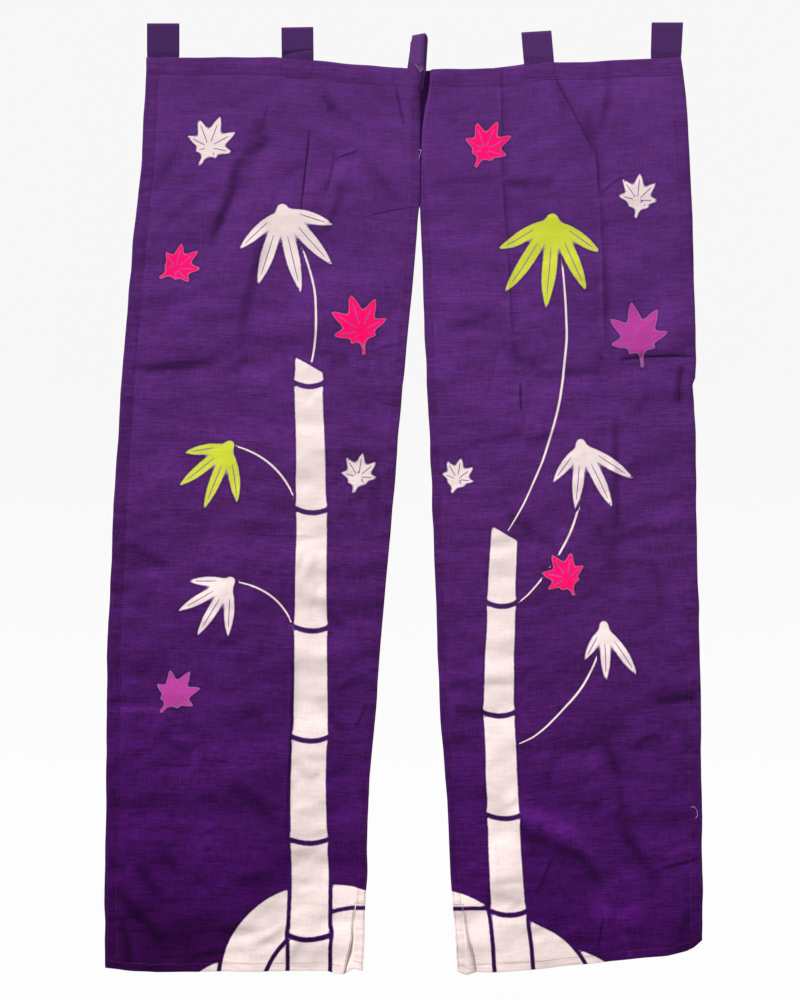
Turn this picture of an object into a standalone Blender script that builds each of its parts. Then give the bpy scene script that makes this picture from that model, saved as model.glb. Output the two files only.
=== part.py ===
"""A noren: a split door curtain of two cotton panels that hang from five loops of tape.

The curtain hangs in the XZ plane and faces -Y, with +X to its right as it is looked at.
The origin is on the line that the loops hang from, above the seam between the panels.
Sizes are in millimetres. A drop is a distance down from the origin's height, and a share
runs across a panel, from 0 at its slit edge to 1 at its outer edge.
"""

import math
from collections import namedtuple

import bmesh
import bpy
import numpy as np
from mathutils import Vector

MM = 0.001

CLOTH = 1.5  # thickness of a panel
TAPE = 1.2  # thickness of a loop's tape
SEWN_GAP = 0.3  # between pieces that are sewn together

# The panels' side edges, as they hang. The right panel's slit edge runs behind the left
# panel as far as the top of the slit.
Section = namedtuple("Section", "drop left_outer left_slit right_slit right_outer")
SECTIONS = [
    Section(*row)
    for row in (
        (55, -428, 9, -12, 408),
        (75, -428, 8.5, -12, 411),
        (117, -430, 1.5, -12, 416),
        (216, -435, 0.5, -10, 422),
        (278, -441, 0, -4, 424),
        (292, -443, -1.5, 0.5, 424),
        (341, -448, -6, 2.5, 426),
        (434, -456, -14, 5, 429),
        (528, -464, -23, 9, 431),
        (582, -468, -28, 12, 432),
        (596, -469, -29, 13, 426),
        (716, -477, -39, 18, 431),
        (841, -483, -50, 22, 433),
        (966, -488, -61, 27, 437),
        (1090, -490, -70, 32, 438),
        (1216, -491, -81, 42, 439),
        (1340, -493, -83, 48, 441),
        (1434, -493, -87, 55, 441),
        (1490, -492, -90, 59, 437),
    )
]

# The top edge of the heading and the bottom edge of the hem, across each panel.
Edge = namedtuple("Edge", "share drop")
HEADING = {
    "left": [Edge(*row) for row in ((0, 75), (0.24, 69), (0.4, 62), (0.58, 55), (1, 55))],
    "right": [
        Edge(*row)
        for row in ((0, 75), (0.15, 74), (0.37, 72), (0.5, 63), (0.66, 62), (1, 55))
    ],
}
HEM = {
    "left": [
        Edge(*row)
        for row in (
            (0, 1483),
            (0.063, 1478),
            (0.07, 1489),
            (0.115, 1487),
            (0.14, 1484),
            (0.8, 1484),
            (1, 1478),
        )
    ],
    "right": [
        Edge(*row)
        for row in (
            (0, 1484),
            (0.055, 1492),
            (0.063, 1484),
            (0.14, 1485),
            (0.36, 1478),
            (0.57, 1472),
            (0.86, 1459),
            (0.94, 1453),
            (0.97, 1447),
            (1, 1436),
        )
    ],
}

# A short vent is left open in each hem, beside the slit. It parts a narrow strip from the
# rest of the panel, and its sides spread a little towards the hem.
Vent = namedtuple("Vent", "drop left right gap")
VENTS = [
    Vent(*row)
    for row in (
        (1384, 0.044, 0.031, 1.0),
        (1434, 0.046, 0.039, 1.4),
        (1462, 0.056, 0.049, 2.0),
        (1485, 0.067, 0.059, 2.6),
    )
]
VENT_TOP = 1384
HEM_DROP = 1485

# The panels' grid: columns from the slit outwards, and rows from the heading down.
STRIP_COLUMNS = 2
BODY_COLUMNS = 19
CROWDING = 1.12  # above 1, the columns stand closer near the slit
HEADING_ROWS = (0, 18, 35, 50, 66)  # below the top edge
BODY_ROWS = 56

# Creases and soft folds. Each runs from one place to another with a sideways bow, and is
# a trough of the given depth, or a ridge if the depth is below zero.
Fold = namedtuple("Fold", "x0 drop0 x1 drop1 bow spread depth")
FOLDS = {
    "left": [
        Fold(*row)
        for row in (
            (-240, 175, -335, 345, 10, 19, 8),
            (-243, 345, -287, 488, -6, 18, 5),
            (-210, 180, -285, 330, 8, 24, -3),
            (-180, 170, -186, 292, 0, 15, 3.5),
            (-145, 115, -6, 292, -14, 16, 5),
            (-92, 120, -18, 240, -8, 14, 3),
            (-110, 150, -30, 282, -10, 14, -3),
            (-240, 320, -108, 212, 26, 17, 3.5),
            (-418, 318, -342, 242, 4, 22, 2.5),
            (-466, 549, -288, 522, -4, 15, 8),
            (-462, 520, -300, 500, 0, 20, -4),
            (-300, 523, -26, 508, 5, 16, 3.5),
            (-292, 806, -54, 805, 0, 15, 3),
            (-470, 806, -355, 878, 6, 19, 4),
            (-196, 890, -104, 950, -5, 17, 5),
            (-170, 880, -80, 925, -5, 20, -3),
            (-190, 955, -206, 1270, 0, 15, 4),
            (-491, 1066, -380, 1066, 0, 14, -5),
            (-491, 1090, -370, 1087, 0, 14, 4),
            (-405, 1114, -315, 1165, 4, 18, 4),
            (-303, 1182, -202, 1257, -4, 18, 4.5),
            (-205, 1140, -106, 1175, -4, 16, 5),
            (-348, 990, -344, 1270, 0, 24, -3),
            (-493, 1335, -392, 1450, 8, 17, 6),
            (-493, 1398, -400, 1482, 6, 15, -4),
            (-335, 1460, -212, 1382, 6, 19, 5),
        )
    ],
    "right": [
        Fold(*row)
        for row in (
            (131, 100, 146, 505, 0, 15, 4),
            (212, 80, 277, 190, -4, 16, 4),
            (302, 80, 274, 190, 2, 16, 4),
            (275, 180, 291, 505, 3, 16, 5),
            (290, 500, 311, 850, 0, 16, 4),
            (230, 110, 245, 500, 0, 30, -3),
            (14, 264, 208, 252, 6, 15, 4),
            (28, 487, 114, 453, 0, 18, 3.5),
            (148, 520, 268, 548, -6, 16, 7),
            (262, 548, 433, 516, -4, 15, 8),
            (250, 520, 425, 492, 0, 20, -4),
            (15, 660, 284, 640, 0, 16, 3),
            (20, 816, 144, 810, 0, 15, 4),
            (132, 756, 188, 802, -3, 17, 5),
            (180, 802, 437, 795, 0, 17, 3),
            (356, 1063, 441, 1057, 0, 13, 6),
            (350, 1042, 441, 1036, 0, 16, -3),
            (278, 1080, 316, 1260, -8, 18, 5),
            (312, 1252, 364, 1345, 4, 18, 5),
            (104, 1200, 268, 1288, -6, 24, -9),
            (112, 1244, 297, 1350, -14, 18, 7),
            (222, 1290, 314, 1418, 8, 18, 4.5),
            (350, 1330, 441, 1306, 4, 14, 6),
            (194, 1366, 213, 1302, 0, 16, 3.5),
            (264, 1396, 258, 1472, 0, 16, 4),
            (60, 1000, 130, 1180, 6, 26, -4),
        )
    ],
}

# Long waves of the hanging cloth, at their full depth at the hem: wavelength across,
# how far a wave moves sideways over the drop, its start and its depth.
Wave = namedtuple("Wave", "length lean start depth")
WAVES = [Wave(*row) for row in ((460, 0.22, 60, 6.0), (205, -0.14, 20, 3.0))]

HEADING_HEM = 35  # the stiff hem that the loops are sewn into
HEADING_EASE = 60  # the drop over which the folds grow below it
LAP_EASE = 45  # the width beside the seam over which they fade
SEAM_END = 292
SEAM_EASE = 90

# How far the right panel lies behind the left one, by the distance from the left panel's
# edge. Sewn behind that edge, it dips in a narrow valley and then comes forward. In the
# heading it also passes behind the middle loop's sewn end.
Lap = namedtuple("Lap", "past_edge sewn valley heading")
LAPS = [
    Lap(*row)
    for row in (
        (-3, CLOTH + SEWN_GAP, 0, 7.7),
        (2, 1.8, 4.0, 3.7),
        (8, 1.6, 6.0, 1.9),
        (16, 1.2, 4.5, 0.3),
        (30, 0.5, 1.0, 0),
        (46, 0, 0, 0),
    )
]
LapShare = namedtuple("LapShare", "drop valley heading")
LAP_SHARES = [
    LapShare(*row)
    for row in (
        (109, 1.0, 1.0),
        (124, 0.9, 0),
        (165, 0.55, 0),
        (292, 0.35, 0),
    )
]

# The loops of tape. The right side of the middle one turns back at a crease.
Loop = namedtuple("Loop", "name base_left base_right top_left top_right heading top")
LOOPS = [
    Loop(*row)
    for row in (
        ("tab_1", -426.5, -376.5, -426.5, -376.5, 55, 1.5),
        ("tab_2", -216, -166.5, -216.5, -167, 56.5, 7.5),
        ("tab_3", -20, 10, -12, 13, 73, 18),
        ("tab_4", 162.5, 209.5, 158.5, 205, 62.5, 14),
        ("tab_5", 361, 408, 362.5, 411, 55, 0),
    )
]
CREASED_LOOP = "tab_3"
TONGUE = 32  # the sewn end of a loop, below the heading's top edge
LOOP_CLEAR = 7  # between a loop's two legs
SPREAD_HEIGHT = 8  # the height over which the legs part
LEG_STEPS = 3
BEND_STEPS = 8
LOOP_COLUMNS = 3
CREASE_COLUMNS = 8
CREASE_RADIUS = (2.2, 6.0)  # of the turned-back side, at the tongue and in the loop
TURNED_BACK = 17  # the straight stretch past the crease
LOOP_SET_BACK = CLOTH / 2 + SEWN_GAP + TAPE + SEWN_GAP / 2

# Name, sRGB colour as linear values, roughness
COTTON = ("purple_slub_cotton", (0.098, 0.025, 0.159, 1), 0.9)
RIBBED_TAPE = ("ribbed_cotton_tape", (0.033, 0.012, 0.062, 1), 0.92)


def clear_scene():
    """Removes every object, and the meshes and materials that they leave."""
    for item in list(bpy.data.objects):
        bpy.data.objects.remove(item, do_unlink=True)
    for block in (bpy.data.meshes, bpy.data.materials):
        for item in list(block):
            block.remove(item)


def read(table, column, at):
    """A column of a table, straight between its rows, which rise by their first column."""
    places = [row[0] for row in table]
    values = [getattr(row, column) for row in table]
    return float(np.interp(at, places, values))


def ease(value):
    """Goes from 0 to 1 as value does, with no slope at either end."""
    value = min(max(value, 0.0), 1.0)
    return value * value * (3 - 2 * value)


def fold_depth(fold, x, drop):
    """The depth that one fold gives the cloth at a place."""
    run_x, run_drop = fold.x1 - fold.x0, fold.drop1 - fold.drop0
    length = math.hypot(run_x, run_drop)
    along = ((x - fold.x0) * run_x + (drop - fold.drop0) * run_drop) / length**2
    if not 0 < along < 1:
        return 0.0
    aside = ((x - fold.x0) * run_drop - (drop - fold.drop0) * run_x) / length
    aside -= fold.bow * 4 * along * (1 - along)
    fade = 1 - (2 * along - 1) ** 6
    return fold.depth * fade * math.exp(-((aside / fold.spread) ** 2))


def lap_depth(x, drop):
    """How far the right panel lies behind the left one near the seam."""
    past_edge = x - read(SECTIONS, "left_slit", drop)
    depth = read(LAPS, "sewn", past_edge)
    for column in ("valley", "heading"):
        depth += read(LAPS, column, past_edge) * read(LAP_SHARES, column, drop)
    return depth * (1 - ease((drop - SEAM_END) / SEAM_EASE))


def cloth_depth(side, x, drop, below_heading):
    """How far the cloth lies behind the plane of the heading."""
    reach = below_heading / (HEM_DROP - HEADING_HEM)
    depth = sum(fold_depth(fold, x, drop) for fold in FOLDS[side])
    for wave in WAVES:
        turn = 2 * math.pi * (x - wave.start + wave.lean * drop) / wave.length
        depth += wave.depth * reach * math.sin(turn)
    depth *= ease((below_heading - HEADING_HEM) / HEADING_EASE)
    from_seam = abs(x - read(SECTIONS, "left_slit", drop)) / LAP_EASE
    beside_seam = 1 - ease((drop - SEAM_END) / SEAM_EASE)
    depth *= 1 - beside_seam * (1 - ease(from_seam - 0.3))
    if side == "right":
        depth += lap_depth(x, drop)
    return depth


def across(side, column, drop):
    """The place across, and the share, of a column counted outwards from the slit."""
    slit = read(SECTIONS, side + "_slit", drop)
    outer = read(SECTIONS, side + "_outer", drop)
    vent = read(VENTS, side, drop)
    half_gap = read(VENTS, "gap", drop) / 2 / abs(outer - slit)
    if column <= STRIP_COLUMNS:
        share = (vent - half_gap) * column / STRIP_COLUMNS
    else:
        start = vent + half_gap
        step = (column - STRIP_COLUMNS - 1) / BODY_COLUMNS
        share = start + (1 - start) * step**CROWDING
    return slit + share * (outer - slit), share


def row_fractions():
    """The rows of a panel's grid, as parts of the way from its heading to its hem."""
    top = [drop / HEM_DROP for drop in HEADING_ROWS]
    return top + [top[-1] + (1 - top[-1]) * n / BODY_ROWS for n in range(1, BODY_ROWS + 1)]


def cloth_point(side, column, fraction):
    """One point of a panel's middle surface, in metres."""
    share = across(side, column, HEM_DROP)[1]
    top = read(HEADING[side], "drop", share)
    bottom = read(HEM[side], "drop", share)
    drop = top + fraction * (bottom - top)
    x = across(side, column, drop)[0]
    return Vector((x, cloth_depth(side, x, drop, drop - top), -drop)) * MM


def new_material(name, colour, roughness):
    """A plain finish for one kind of cloth."""
    material = bpy.data.materials.new(name)
    material.use_nodes = True
    shader = material.node_tree.nodes["Principled BSDF"]
    shader.inputs["Base Color"].default_value = colour
    shader.inputs["Roughness"].default_value = roughness
    shader.inputs["Metallic"].default_value = 0.0
    return material


def add_sheet(name, bm, thickness, finish, collection):
    """Makes an object of an open sheet, and gives it its thickness, half to each side."""
    mesh = bpy.data.meshes.new(name)
    bm.to_mesh(mesh)
    bm.free()
    mesh.materials.append(new_material(name + "_" + finish[0], *finish[1:]))
    mesh.shade_smooth()
    sheet = bpy.data.objects.new(name, mesh)
    collection.objects.link(sheet)
    solidify = sheet.modifiers.new("cloth thickness", "SOLIDIFY")
    solidify.thickness = thickness * MM
    solidify.offset = 0
    return sheet


def add_panel(side, collection):
    """One panel: a grid laid along its edges and folds, with its vent cut open."""
    columns = STRIP_COLUMNS + 1 + BODY_COLUMNS
    fractions = row_fractions()
    rows = len(fractions) - 1
    bm = bmesh.new()
    bmesh.ops.create_grid(bm, x_segments=columns, y_segments=rows, size=0.5)
    grid_place = {}
    for vertex in bm.verts:
        step = round((vertex.co.x + 0.5) * columns)
        column = columns - step if side == "left" else step
        row = round((0.5 - vertex.co.y) * rows)
        grid_place[vertex] = column
        vertex.co = cloth_point(side, column, fractions[row])
    open_faces = []
    for face in bm.faces:
        in_gap = {grid_place[vertex] for vertex in face.verts} == {
            STRIP_COLUMNS,
            STRIP_COLUMNS + 1,
        }
        if in_gap and -face.calc_center_median().z > VENT_TOP * MM:
            open_faces.append(face)
    bmesh.ops.delete(bm, geom=open_faces, context="FACES")
    return add_sheet("panel_" + side, bm, CLOTH, COTTON, collection)


def loop_path(loop):
    """The tape's way up its front leg, over the top and down the back leg.

    Each step is an offset from the loop's middle, to the front if below zero, and a drop.
    """
    sewn = (TAPE + SEWN_GAP) / 2
    radius = (LOOP_CLEAR + TAPE) / 2
    bend = loop.top + TAPE / 2 + radius
    leg_top, leg_foot = bend, loop.heading - SPREAD_HEIGHT
    front = [(-sewn, loop.heading + TONGUE), (-sewn, loop.heading)]
    front += [
        (-radius, leg_foot + (leg_top - leg_foot) * n / LEG_STEPS) for n in range(LEG_STEPS + 1)
    ]
    over = []
    for n in range(1, BEND_STEPS):
        angle = math.pi * n / BEND_STEPS
        over.append((-radius * math.cos(angle), bend - radius * math.sin(angle)))
    back = [(-offset, drop) for offset, drop in reversed(front)]
    return front + over + back


def plain_place(loop, share, height):
    """A place on a flat loop's middle plane, and the way to its back."""
    left = loop.base_left + (loop.top_left - loop.base_left) * height
    right = loop.base_right + (loop.top_right - loop.base_right) * height
    return Vector((left + share * (right - left), LOOP_SET_BACK)), Vector((0, 1))


def creased_place(loop, share, height):
    """The same on the loop that turns back at its crease, as a straight, a bend, a straight."""
    left = loop.base_left + (loop.top_left - loop.base_left) * height
    right = loop.base_right + (loop.top_right - loop.base_right) * height
    opened = ease(height * (loop.heading - loop.top) / SPREAD_HEIGHT)
    radius = CREASE_RADIUS[0] + (CREASE_RADIUS[1] - CREASE_RADIUS[0]) * opened
    half_loop = (TAPE + SEWN_GAP) / 2 + (LOOP_CLEAR - SEWN_GAP) / 2 * opened
    centre = Vector((right - radius - half_loop - TAPE / 2, LOOP_SET_BACK + radius))
    front_end, back_start = 1 / 3, 2 / 3
    if share <= front_end:
        x = left + (centre.x - left) * share / front_end
        return Vector((x, LOOP_SET_BACK)), Vector((0, 1))
    if share >= back_start:
        x = centre.x - TURNED_BACK * (share - back_start) / (1 - back_start)
        return Vector((x, LOOP_SET_BACK + 2 * radius)), Vector((0, -1))
    angle = math.pi * (share - front_end) / (back_start - front_end)
    outwards = Vector((math.sin(angle), -math.cos(angle)))
    return centre + radius * outwards, -outwards


def add_loop(loop, collection):
    """One loop: a strip bent along its path, with both ends together at the tongue."""
    creased = loop.name == CREASED_LOOP
    place = creased_place if creased else plain_place
    columns = 2 * LOOP_COLUMNS + CREASE_COLUMNS if creased else LOOP_COLUMNS
    shares = [n / columns for n in range(columns + 1)]
    if creased:
        straight = [n / LOOP_COLUMNS / 3 for n in range(LOOP_COLUMNS)]
        bend = [(1 + n / CREASE_COLUMNS) / 3 for n in range(CREASE_COLUMNS)]
        shares = straight + bend + [(2 + n / LOOP_COLUMNS) / 3 for n in range(LOOP_COLUMNS + 1)]
    path = loop_path(loop)
    steps = len(path) - 1
    bm = bmesh.new()
    bmesh.ops.create_grid(bm, x_segments=columns, y_segments=steps, size=0.5)
    for vertex in bm.verts:
        share = shares[round((vertex.co.x + 0.5) * columns)]
        offset, drop = path[round((vertex.co.y + 0.5) * steps)]
        height = max(loop.heading - drop, 0) / (loop.heading - loop.top)
        middle, backwards = place(loop, share, height)
        plan = middle + offset * backwards
        vertex.co = Vector((plan.x, plan.y, -drop)) * MM
    tape = add_sheet(loop.name, bm, TAPE, RIBBED_TAPE, collection)
    tape.modifiers["cloth thickness"].use_even_offset = True
    return tape


def main():
    clear_scene()
    collection = bpy.data.collections.new("noren_curtain")
    bpy.context.scene.collection.children.link(collection)
    for side in ("left", "right"):
        add_panel(side, collection)
    for loop in LOOPS:
        add_loop(loop, collection)


main()
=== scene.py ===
# %% [markdown]
# # A split door curtain, sewn, pressed and printed
#
# A noren is a door curtain of two cotton panels. They are sewn together for the top fifth
# and hang apart below it. Five loops of tape carry it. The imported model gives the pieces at
# their real size. This lesson makes each of them again as fine cloth on the same folds, then
# dyes it, prints it and sews it.
#
# Everything is in millimetres until it goes into a mesh. A drop is a distance down from the
# line that the loops hang from.

import math
from collections import namedtuple

import bmesh
import bpy
import numpy as np
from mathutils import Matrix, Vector


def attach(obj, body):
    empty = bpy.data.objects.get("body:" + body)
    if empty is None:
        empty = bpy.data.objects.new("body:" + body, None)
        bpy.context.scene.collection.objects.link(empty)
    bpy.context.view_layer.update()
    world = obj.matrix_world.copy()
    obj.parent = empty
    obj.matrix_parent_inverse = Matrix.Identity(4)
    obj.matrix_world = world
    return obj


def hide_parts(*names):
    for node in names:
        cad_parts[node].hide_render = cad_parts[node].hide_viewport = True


MM = 0.001

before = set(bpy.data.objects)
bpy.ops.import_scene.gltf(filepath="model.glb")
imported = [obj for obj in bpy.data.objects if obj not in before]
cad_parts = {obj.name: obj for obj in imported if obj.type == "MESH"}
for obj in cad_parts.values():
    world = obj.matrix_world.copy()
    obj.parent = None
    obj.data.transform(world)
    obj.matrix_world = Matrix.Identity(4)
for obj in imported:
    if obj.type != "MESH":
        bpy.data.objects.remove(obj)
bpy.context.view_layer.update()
print("nodes:", sorted(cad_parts))

# %% [markdown]
# ## Small helpers
#
# Colours are written as sRGB hex values, as a colour picker shows them, and one function
# turns them to the linear values that a shader works with. Another adds a node with its
# settings and its links and hands back one of its outputs, so a node tree reads from the
# top down. The others start a material, turn a bmesh into an object, make the rows of a
# table and find a value between two others.


def linear(colour):
    """An sRGB hex colour as the linear colour of a socket."""
    parts = [int(colour[n : n + 2], 16) / 255 for n in (1, 3, 5)]
    return [c / 12.92 if c <= 0.04045 else ((c + 0.055) / 1.055) ** 2.4 for c in parts] + [1]


def add(tree, kind, inputs=None, get=0, **settings):
    """Adds a node, sets its inputs to values or links them, and returns one output."""
    node = tree.nodes.new("ShaderNode" + kind)
    for name, value in settings.items():
        setattr(node, name, value)
    for socket, value in (inputs or {}).items():
        if isinstance(value, bpy.types.NodeSocket):
            tree.links.new(value, node.inputs[socket])
        else:
            node.inputs[socket].default_value = value
    return node.outputs[get] if len(node.outputs) else node


def new_material(name):
    """An empty material and its node tree."""
    material = bpy.data.materials.new(name)
    material.use_nodes = True
    material.node_tree.nodes.clear()
    return material, material.node_tree


def new_object(name, bm, materials=()):
    """An object at the origin with the mesh that a bmesh holds."""
    mesh = bpy.data.meshes.new(name)
    bm.to_mesh(mesh)
    bm.free()
    for material in materials:
        mesh.materials.append(material)
    mesh.shade_smooth()
    item = bpy.data.objects.new(name, mesh)
    bpy.context.scene.collection.objects.link(item)
    return item


def rows(kind, *values):
    """The rows of a table, each with the named columns of its kind."""
    return [kind(*value) for value in values]


def between(start, end, share):
    """The value at a share of the way from one value to another."""
    return start + (end - start) * share


print("purple as a linear colour:", [round(c, 3) for c in linear("#5a2d71")])

# %% [markdown]
# ## Camera
#
# The photograph is 800 by 1000 pixels and looks straight at the cloth. One pixel is 1/0.64 mm
# on the cloth, so the frame is 1.5625 m tall there. A long lens from a few metres away keeps
# the edges as straight as they are in the photograph.

# %% Camera
IMAGE_SIZE = (800, 1000)
PIXEL = 1 / 0.64  # mm on the cloth
ORIGIN_PIXEL = (420, 22)  # where the hanging line crosses the seam
LENS = 85.0
SENSOR = 36.0


def from_pixel(x, y):
    """A place across and a height, in metres, for a pixel of the photograph."""
    return (x - ORIGIN_PIXEL[0]) * PIXEL * MM, (ORIGIN_PIXEL[1] - y) * PIXEL * MM


camera_data = bpy.data.cameras.new("camera")
camera_data.lens = LENS
camera_data.sensor_width = SENSOR
camera = bpy.data.objects.new("camera", camera_data)
bpy.context.scene.collection.objects.link(camera)
middle_x, middle_z = from_pixel(IMAGE_SIZE[0] / 2, IMAGE_SIZE[1] / 2)
camera_distance = LENS / SENSOR * IMAGE_SIZE[1] * PIXEL * MM
camera.location = (middle_x, -camera_distance, middle_z)
camera.rotation_euler = (math.pi / 2, 0, 0)
bpy.context.scene.camera = camera
print("camera distance:", round(camera_distance, 3), "m")

# %% [markdown]
# ## Stage and light
#
# A noren hangs with its hem about knee high, so the pale floor lies 0.4 m below it. The
# light is a white room, one strong lamp up and to the left that draws the folds, and a weak
# one on the right. The lamps stand far off, so that the light falls evenly on the cloth. A
# third lamp lights the back and never reaches the face. What is seen behind the cloth is
# brighter than the light that the room gives, as on a white sweep that is lit by itself.

# %% Floor
FLOOR_DROP = 1900
FLOOR_HALF = 1.7  # half its side, in metres
SPECKLES = 9.0  # to the metre, in its paint

floor_mesh = bmesh.new()
bmesh.ops.create_grid(floor_mesh, x_segments=1, y_segments=1, size=FLOOR_HALF)
bmesh.ops.translate(floor_mesh, verts=floor_mesh.verts, vec=(0, 0, -FLOOR_DROP * MM))
floor_paint, tree = new_material("pale_painted_floor")
speckle = add(tree, "TexNoise", {"Scale": SPECKLES, "Detail": 4.0})
greys = linear("#e4e3e1"), linear("#eae9e7")
tone = add(tree, "Mix", {0: speckle, 6: greys[0], 7: greys[1]}, 2, data_type="RGBA")
paint = add(tree, "BsdfPrincipled", {"Base Color": tone, "Roughness": 0.7})
add(tree, "OutputMaterial", {"Surface": paint})
floor = new_object("floor", floor_mesh, [floor_paint])
print("floor:", FLOOR_DROP, "mm below the tops of the loops")

# %% Lamps
CLOTH_CENTRE = Vector((middle_x, 0, middle_z))
Lamp = namedtuple("Lamp", "name place size power")  # in metres and watts
LAMPS = rows(
    Lamp,
    ("key", (-6.8, -6.0, 10.6), 2.0, 3650),
    ("fill", (4.0, -5.2, -0.8), 3.0, 42),
    ("back", (2.6, 4.4, 1.6), 3.0, 260),
)

for lamp in LAMPS:
    lamp_data = bpy.data.lights.new(lamp.name, "AREA")
    lamp_data.shape = "DISK"
    lamp_data.size = lamp.size
    lamp_data.energy = lamp.power
    light = bpy.data.objects.new(lamp.name, lamp_data)
    light.location = lamp.place
    light.rotation_euler = (CLOTH_CENTRE - light.location).to_track_quat("-Z", "Y").to_euler()
    bpy.context.scene.collection.objects.link(light)
print("lamps:", [lamp.name for lamp in LAMPS])

# %% White room
ROOM_LIGHT = 0.27
BACKDROP_TOP = linear("#f7f7f7")
BACKDROP_LOW = linear("#fdfdfd")
BACKDROP_RISE = (-0.12, 0.05)  # the slopes of view between which it changes

room = bpy.data.worlds.new("white_room")
bpy.context.scene.world = room
room.use_nodes = True
room.node_tree.nodes.clear()
tree = room.node_tree
sky = add(tree, "TexCoord", get="Generated")
height = add(tree, "SeparateXYZ", {0: sky}, get=2)
rise = add(tree, "MapRange", {0: height, 1: BACKDROP_RISE[0], 2: BACKDROP_RISE[1]})
shade = add(tree, "Mix", {0: rise, 6: BACKDROP_LOW, 7: BACKDROP_TOP}, 2, data_type="RGBA")
seen = add(tree, "Background", {"Color": shade, "Strength": 1.0})
given = add(tree, "Background", {"Color": (1, 1, 1, 1), "Strength": ROOM_LIGHT})
from_camera = add(tree, "LightPath", get="Is Camera Ray")
world_light = add(tree, "MixShader", {0: from_camera, 1: given, 2: seen})
add(tree, "OutputWorld", {"Surface": world_light})
bpy.context.scene.view_settings.view_transform = "Standard"
print("room:", len(tree.nodes), "nodes")

# %% [markdown]
# ## The hung shape of the panels
#
# Cloth could be dropped from its loops by a cloth simulation, but these folds are not made
# by hanging: they were pressed in while the curtain was folded up in its bag. So the shape is
# given instead. Tables give the edges as they hang, and each crease is one row: where it
# starts and ends, how far it bows, how wide it is and how deep. The main folds are also those
# of the solids, so the fine cloth lies on them.

# %% Edges of the panels
Section = namedtuple("Section", "drop left_outer left_slit right_slit right_outer")
SECTIONS = rows(
    Section,
    (55, -428, 9, -12, 408),
    (75, -428, 8.5, -12, 411),
    (117, -430, 1.5, -12, 416),
    (216, -435, 0.5, -10, 422),
    (278, -441, 0, -4, 425),
    (292, -443, -1.5, 0.5, 425),
    (341, -448, -6, 2.5, 427),
    (434, -456, -14, 5, 429.5),
    (528, -464, -23, 9, 431),
    (556, -466, -25, 10.5, 430),
    (567, -467, -26.5, 11, 426),
    (590, -469, -28.5, 12.5, 428.5),
    (640, -472, -33, 15, 430.5),
    (716, -477, -39, 18, 432),
    (841, -483, -50, 22, 434),
    (966, -488, -61, 27, 438),
    (1090, -490, -70, 32, 439.5),
    (1216, -491, -81, 42, 440),
    (1340, -493, -83, 48, 442),
    (1434, -493, -87, 55, 442),
    (1490, -492, -90, 59, 438),
)
print("edges given at", len(SECTIONS), "drops")

# %% Heading, hem and vents
# The drop of the top and bottom edges, by the share of the width from the slit outwards.
Edge = namedtuple("Edge", "share drop")
HEADING = {
    "left": rows(Edge, (0, 75), (0.24, 69), (0.4, 62), (0.58, 55), (1, 55)),
    "right": rows(Edge, (0, 75), (0.15, 74), (0.37, 72), (0.5, 63), (0.66, 62), (1, 55)),
}
HEM = {
    "left": rows(
        Edge,
        (0, 1483), (0.063, 1478), (0.07, 1489), (0.115, 1487),
        (0.14, 1484), (0.8, 1484), (1, 1478),
    ),
    "right": rows(
        Edge,
        (0, 1484), (0.055, 1492), (0.063, 1484), (0.14, 1485),
        (0.36, 1478), (0.57, 1472), (0.86, 1459), (0.94, 1453),
        (0.97, 1447), (1, 1436),
    ),
}
# The vents beside the slit: where each lies, as a share of the width, and how far one of its
# sides lies behind the other.
Vent = namedtuple("Vent", "drop left right step")
VENTS = rows(
    Vent,
    (1380, 0.040, 0.0405, 0.3), (1434, 0.047, 0.054, 1.4),
    (1462, 0.060, 0.069, 3.0), (1485, 0.071, 0.077, 2.6),
)
VENT_TOP = 1380
VENT_GAP = 0.05  # between its two sides
VENT_LAP = 0.7  # how far its two sides overlap
VENT_EASE = 20  # the drop over which it opens
VENT_SIDE = {"left": 1, "right": -0.55}  # the strip lies behind on the left, in front on the right
HEM_DROP = 1485
OUTWARDS = {"left": -1, "right": 1}
print("the vents open at a drop of", VENT_TOP, "mm")

# %% Reading the tables
def read(table, column, at):
    """A column of a table, straight between its rows, which rise by their first column."""
    return np.interp(at, [row[0] for row in table], [getattr(row, column) for row in table])


def ease(value):
    """Goes from 0 to 1 as value does, with no slope at either end."""
    value = np.clip(value, 0, 1)
    return value * value * (3 - 2 * value)


def slit_at(side, drop):
    """Where a panel's slit edge is at a drop."""
    return read(SECTIONS, side + "_slit", drop)


def width_at(side, drop):
    """The width of a panel at a drop."""
    return abs(read(SECTIONS, side + "_outer", drop) - slit_at(side, drop))


print("widths at the hem:", [round(float(width_at(side, HEM_DROP))) for side in OUTWARDS])

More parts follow.
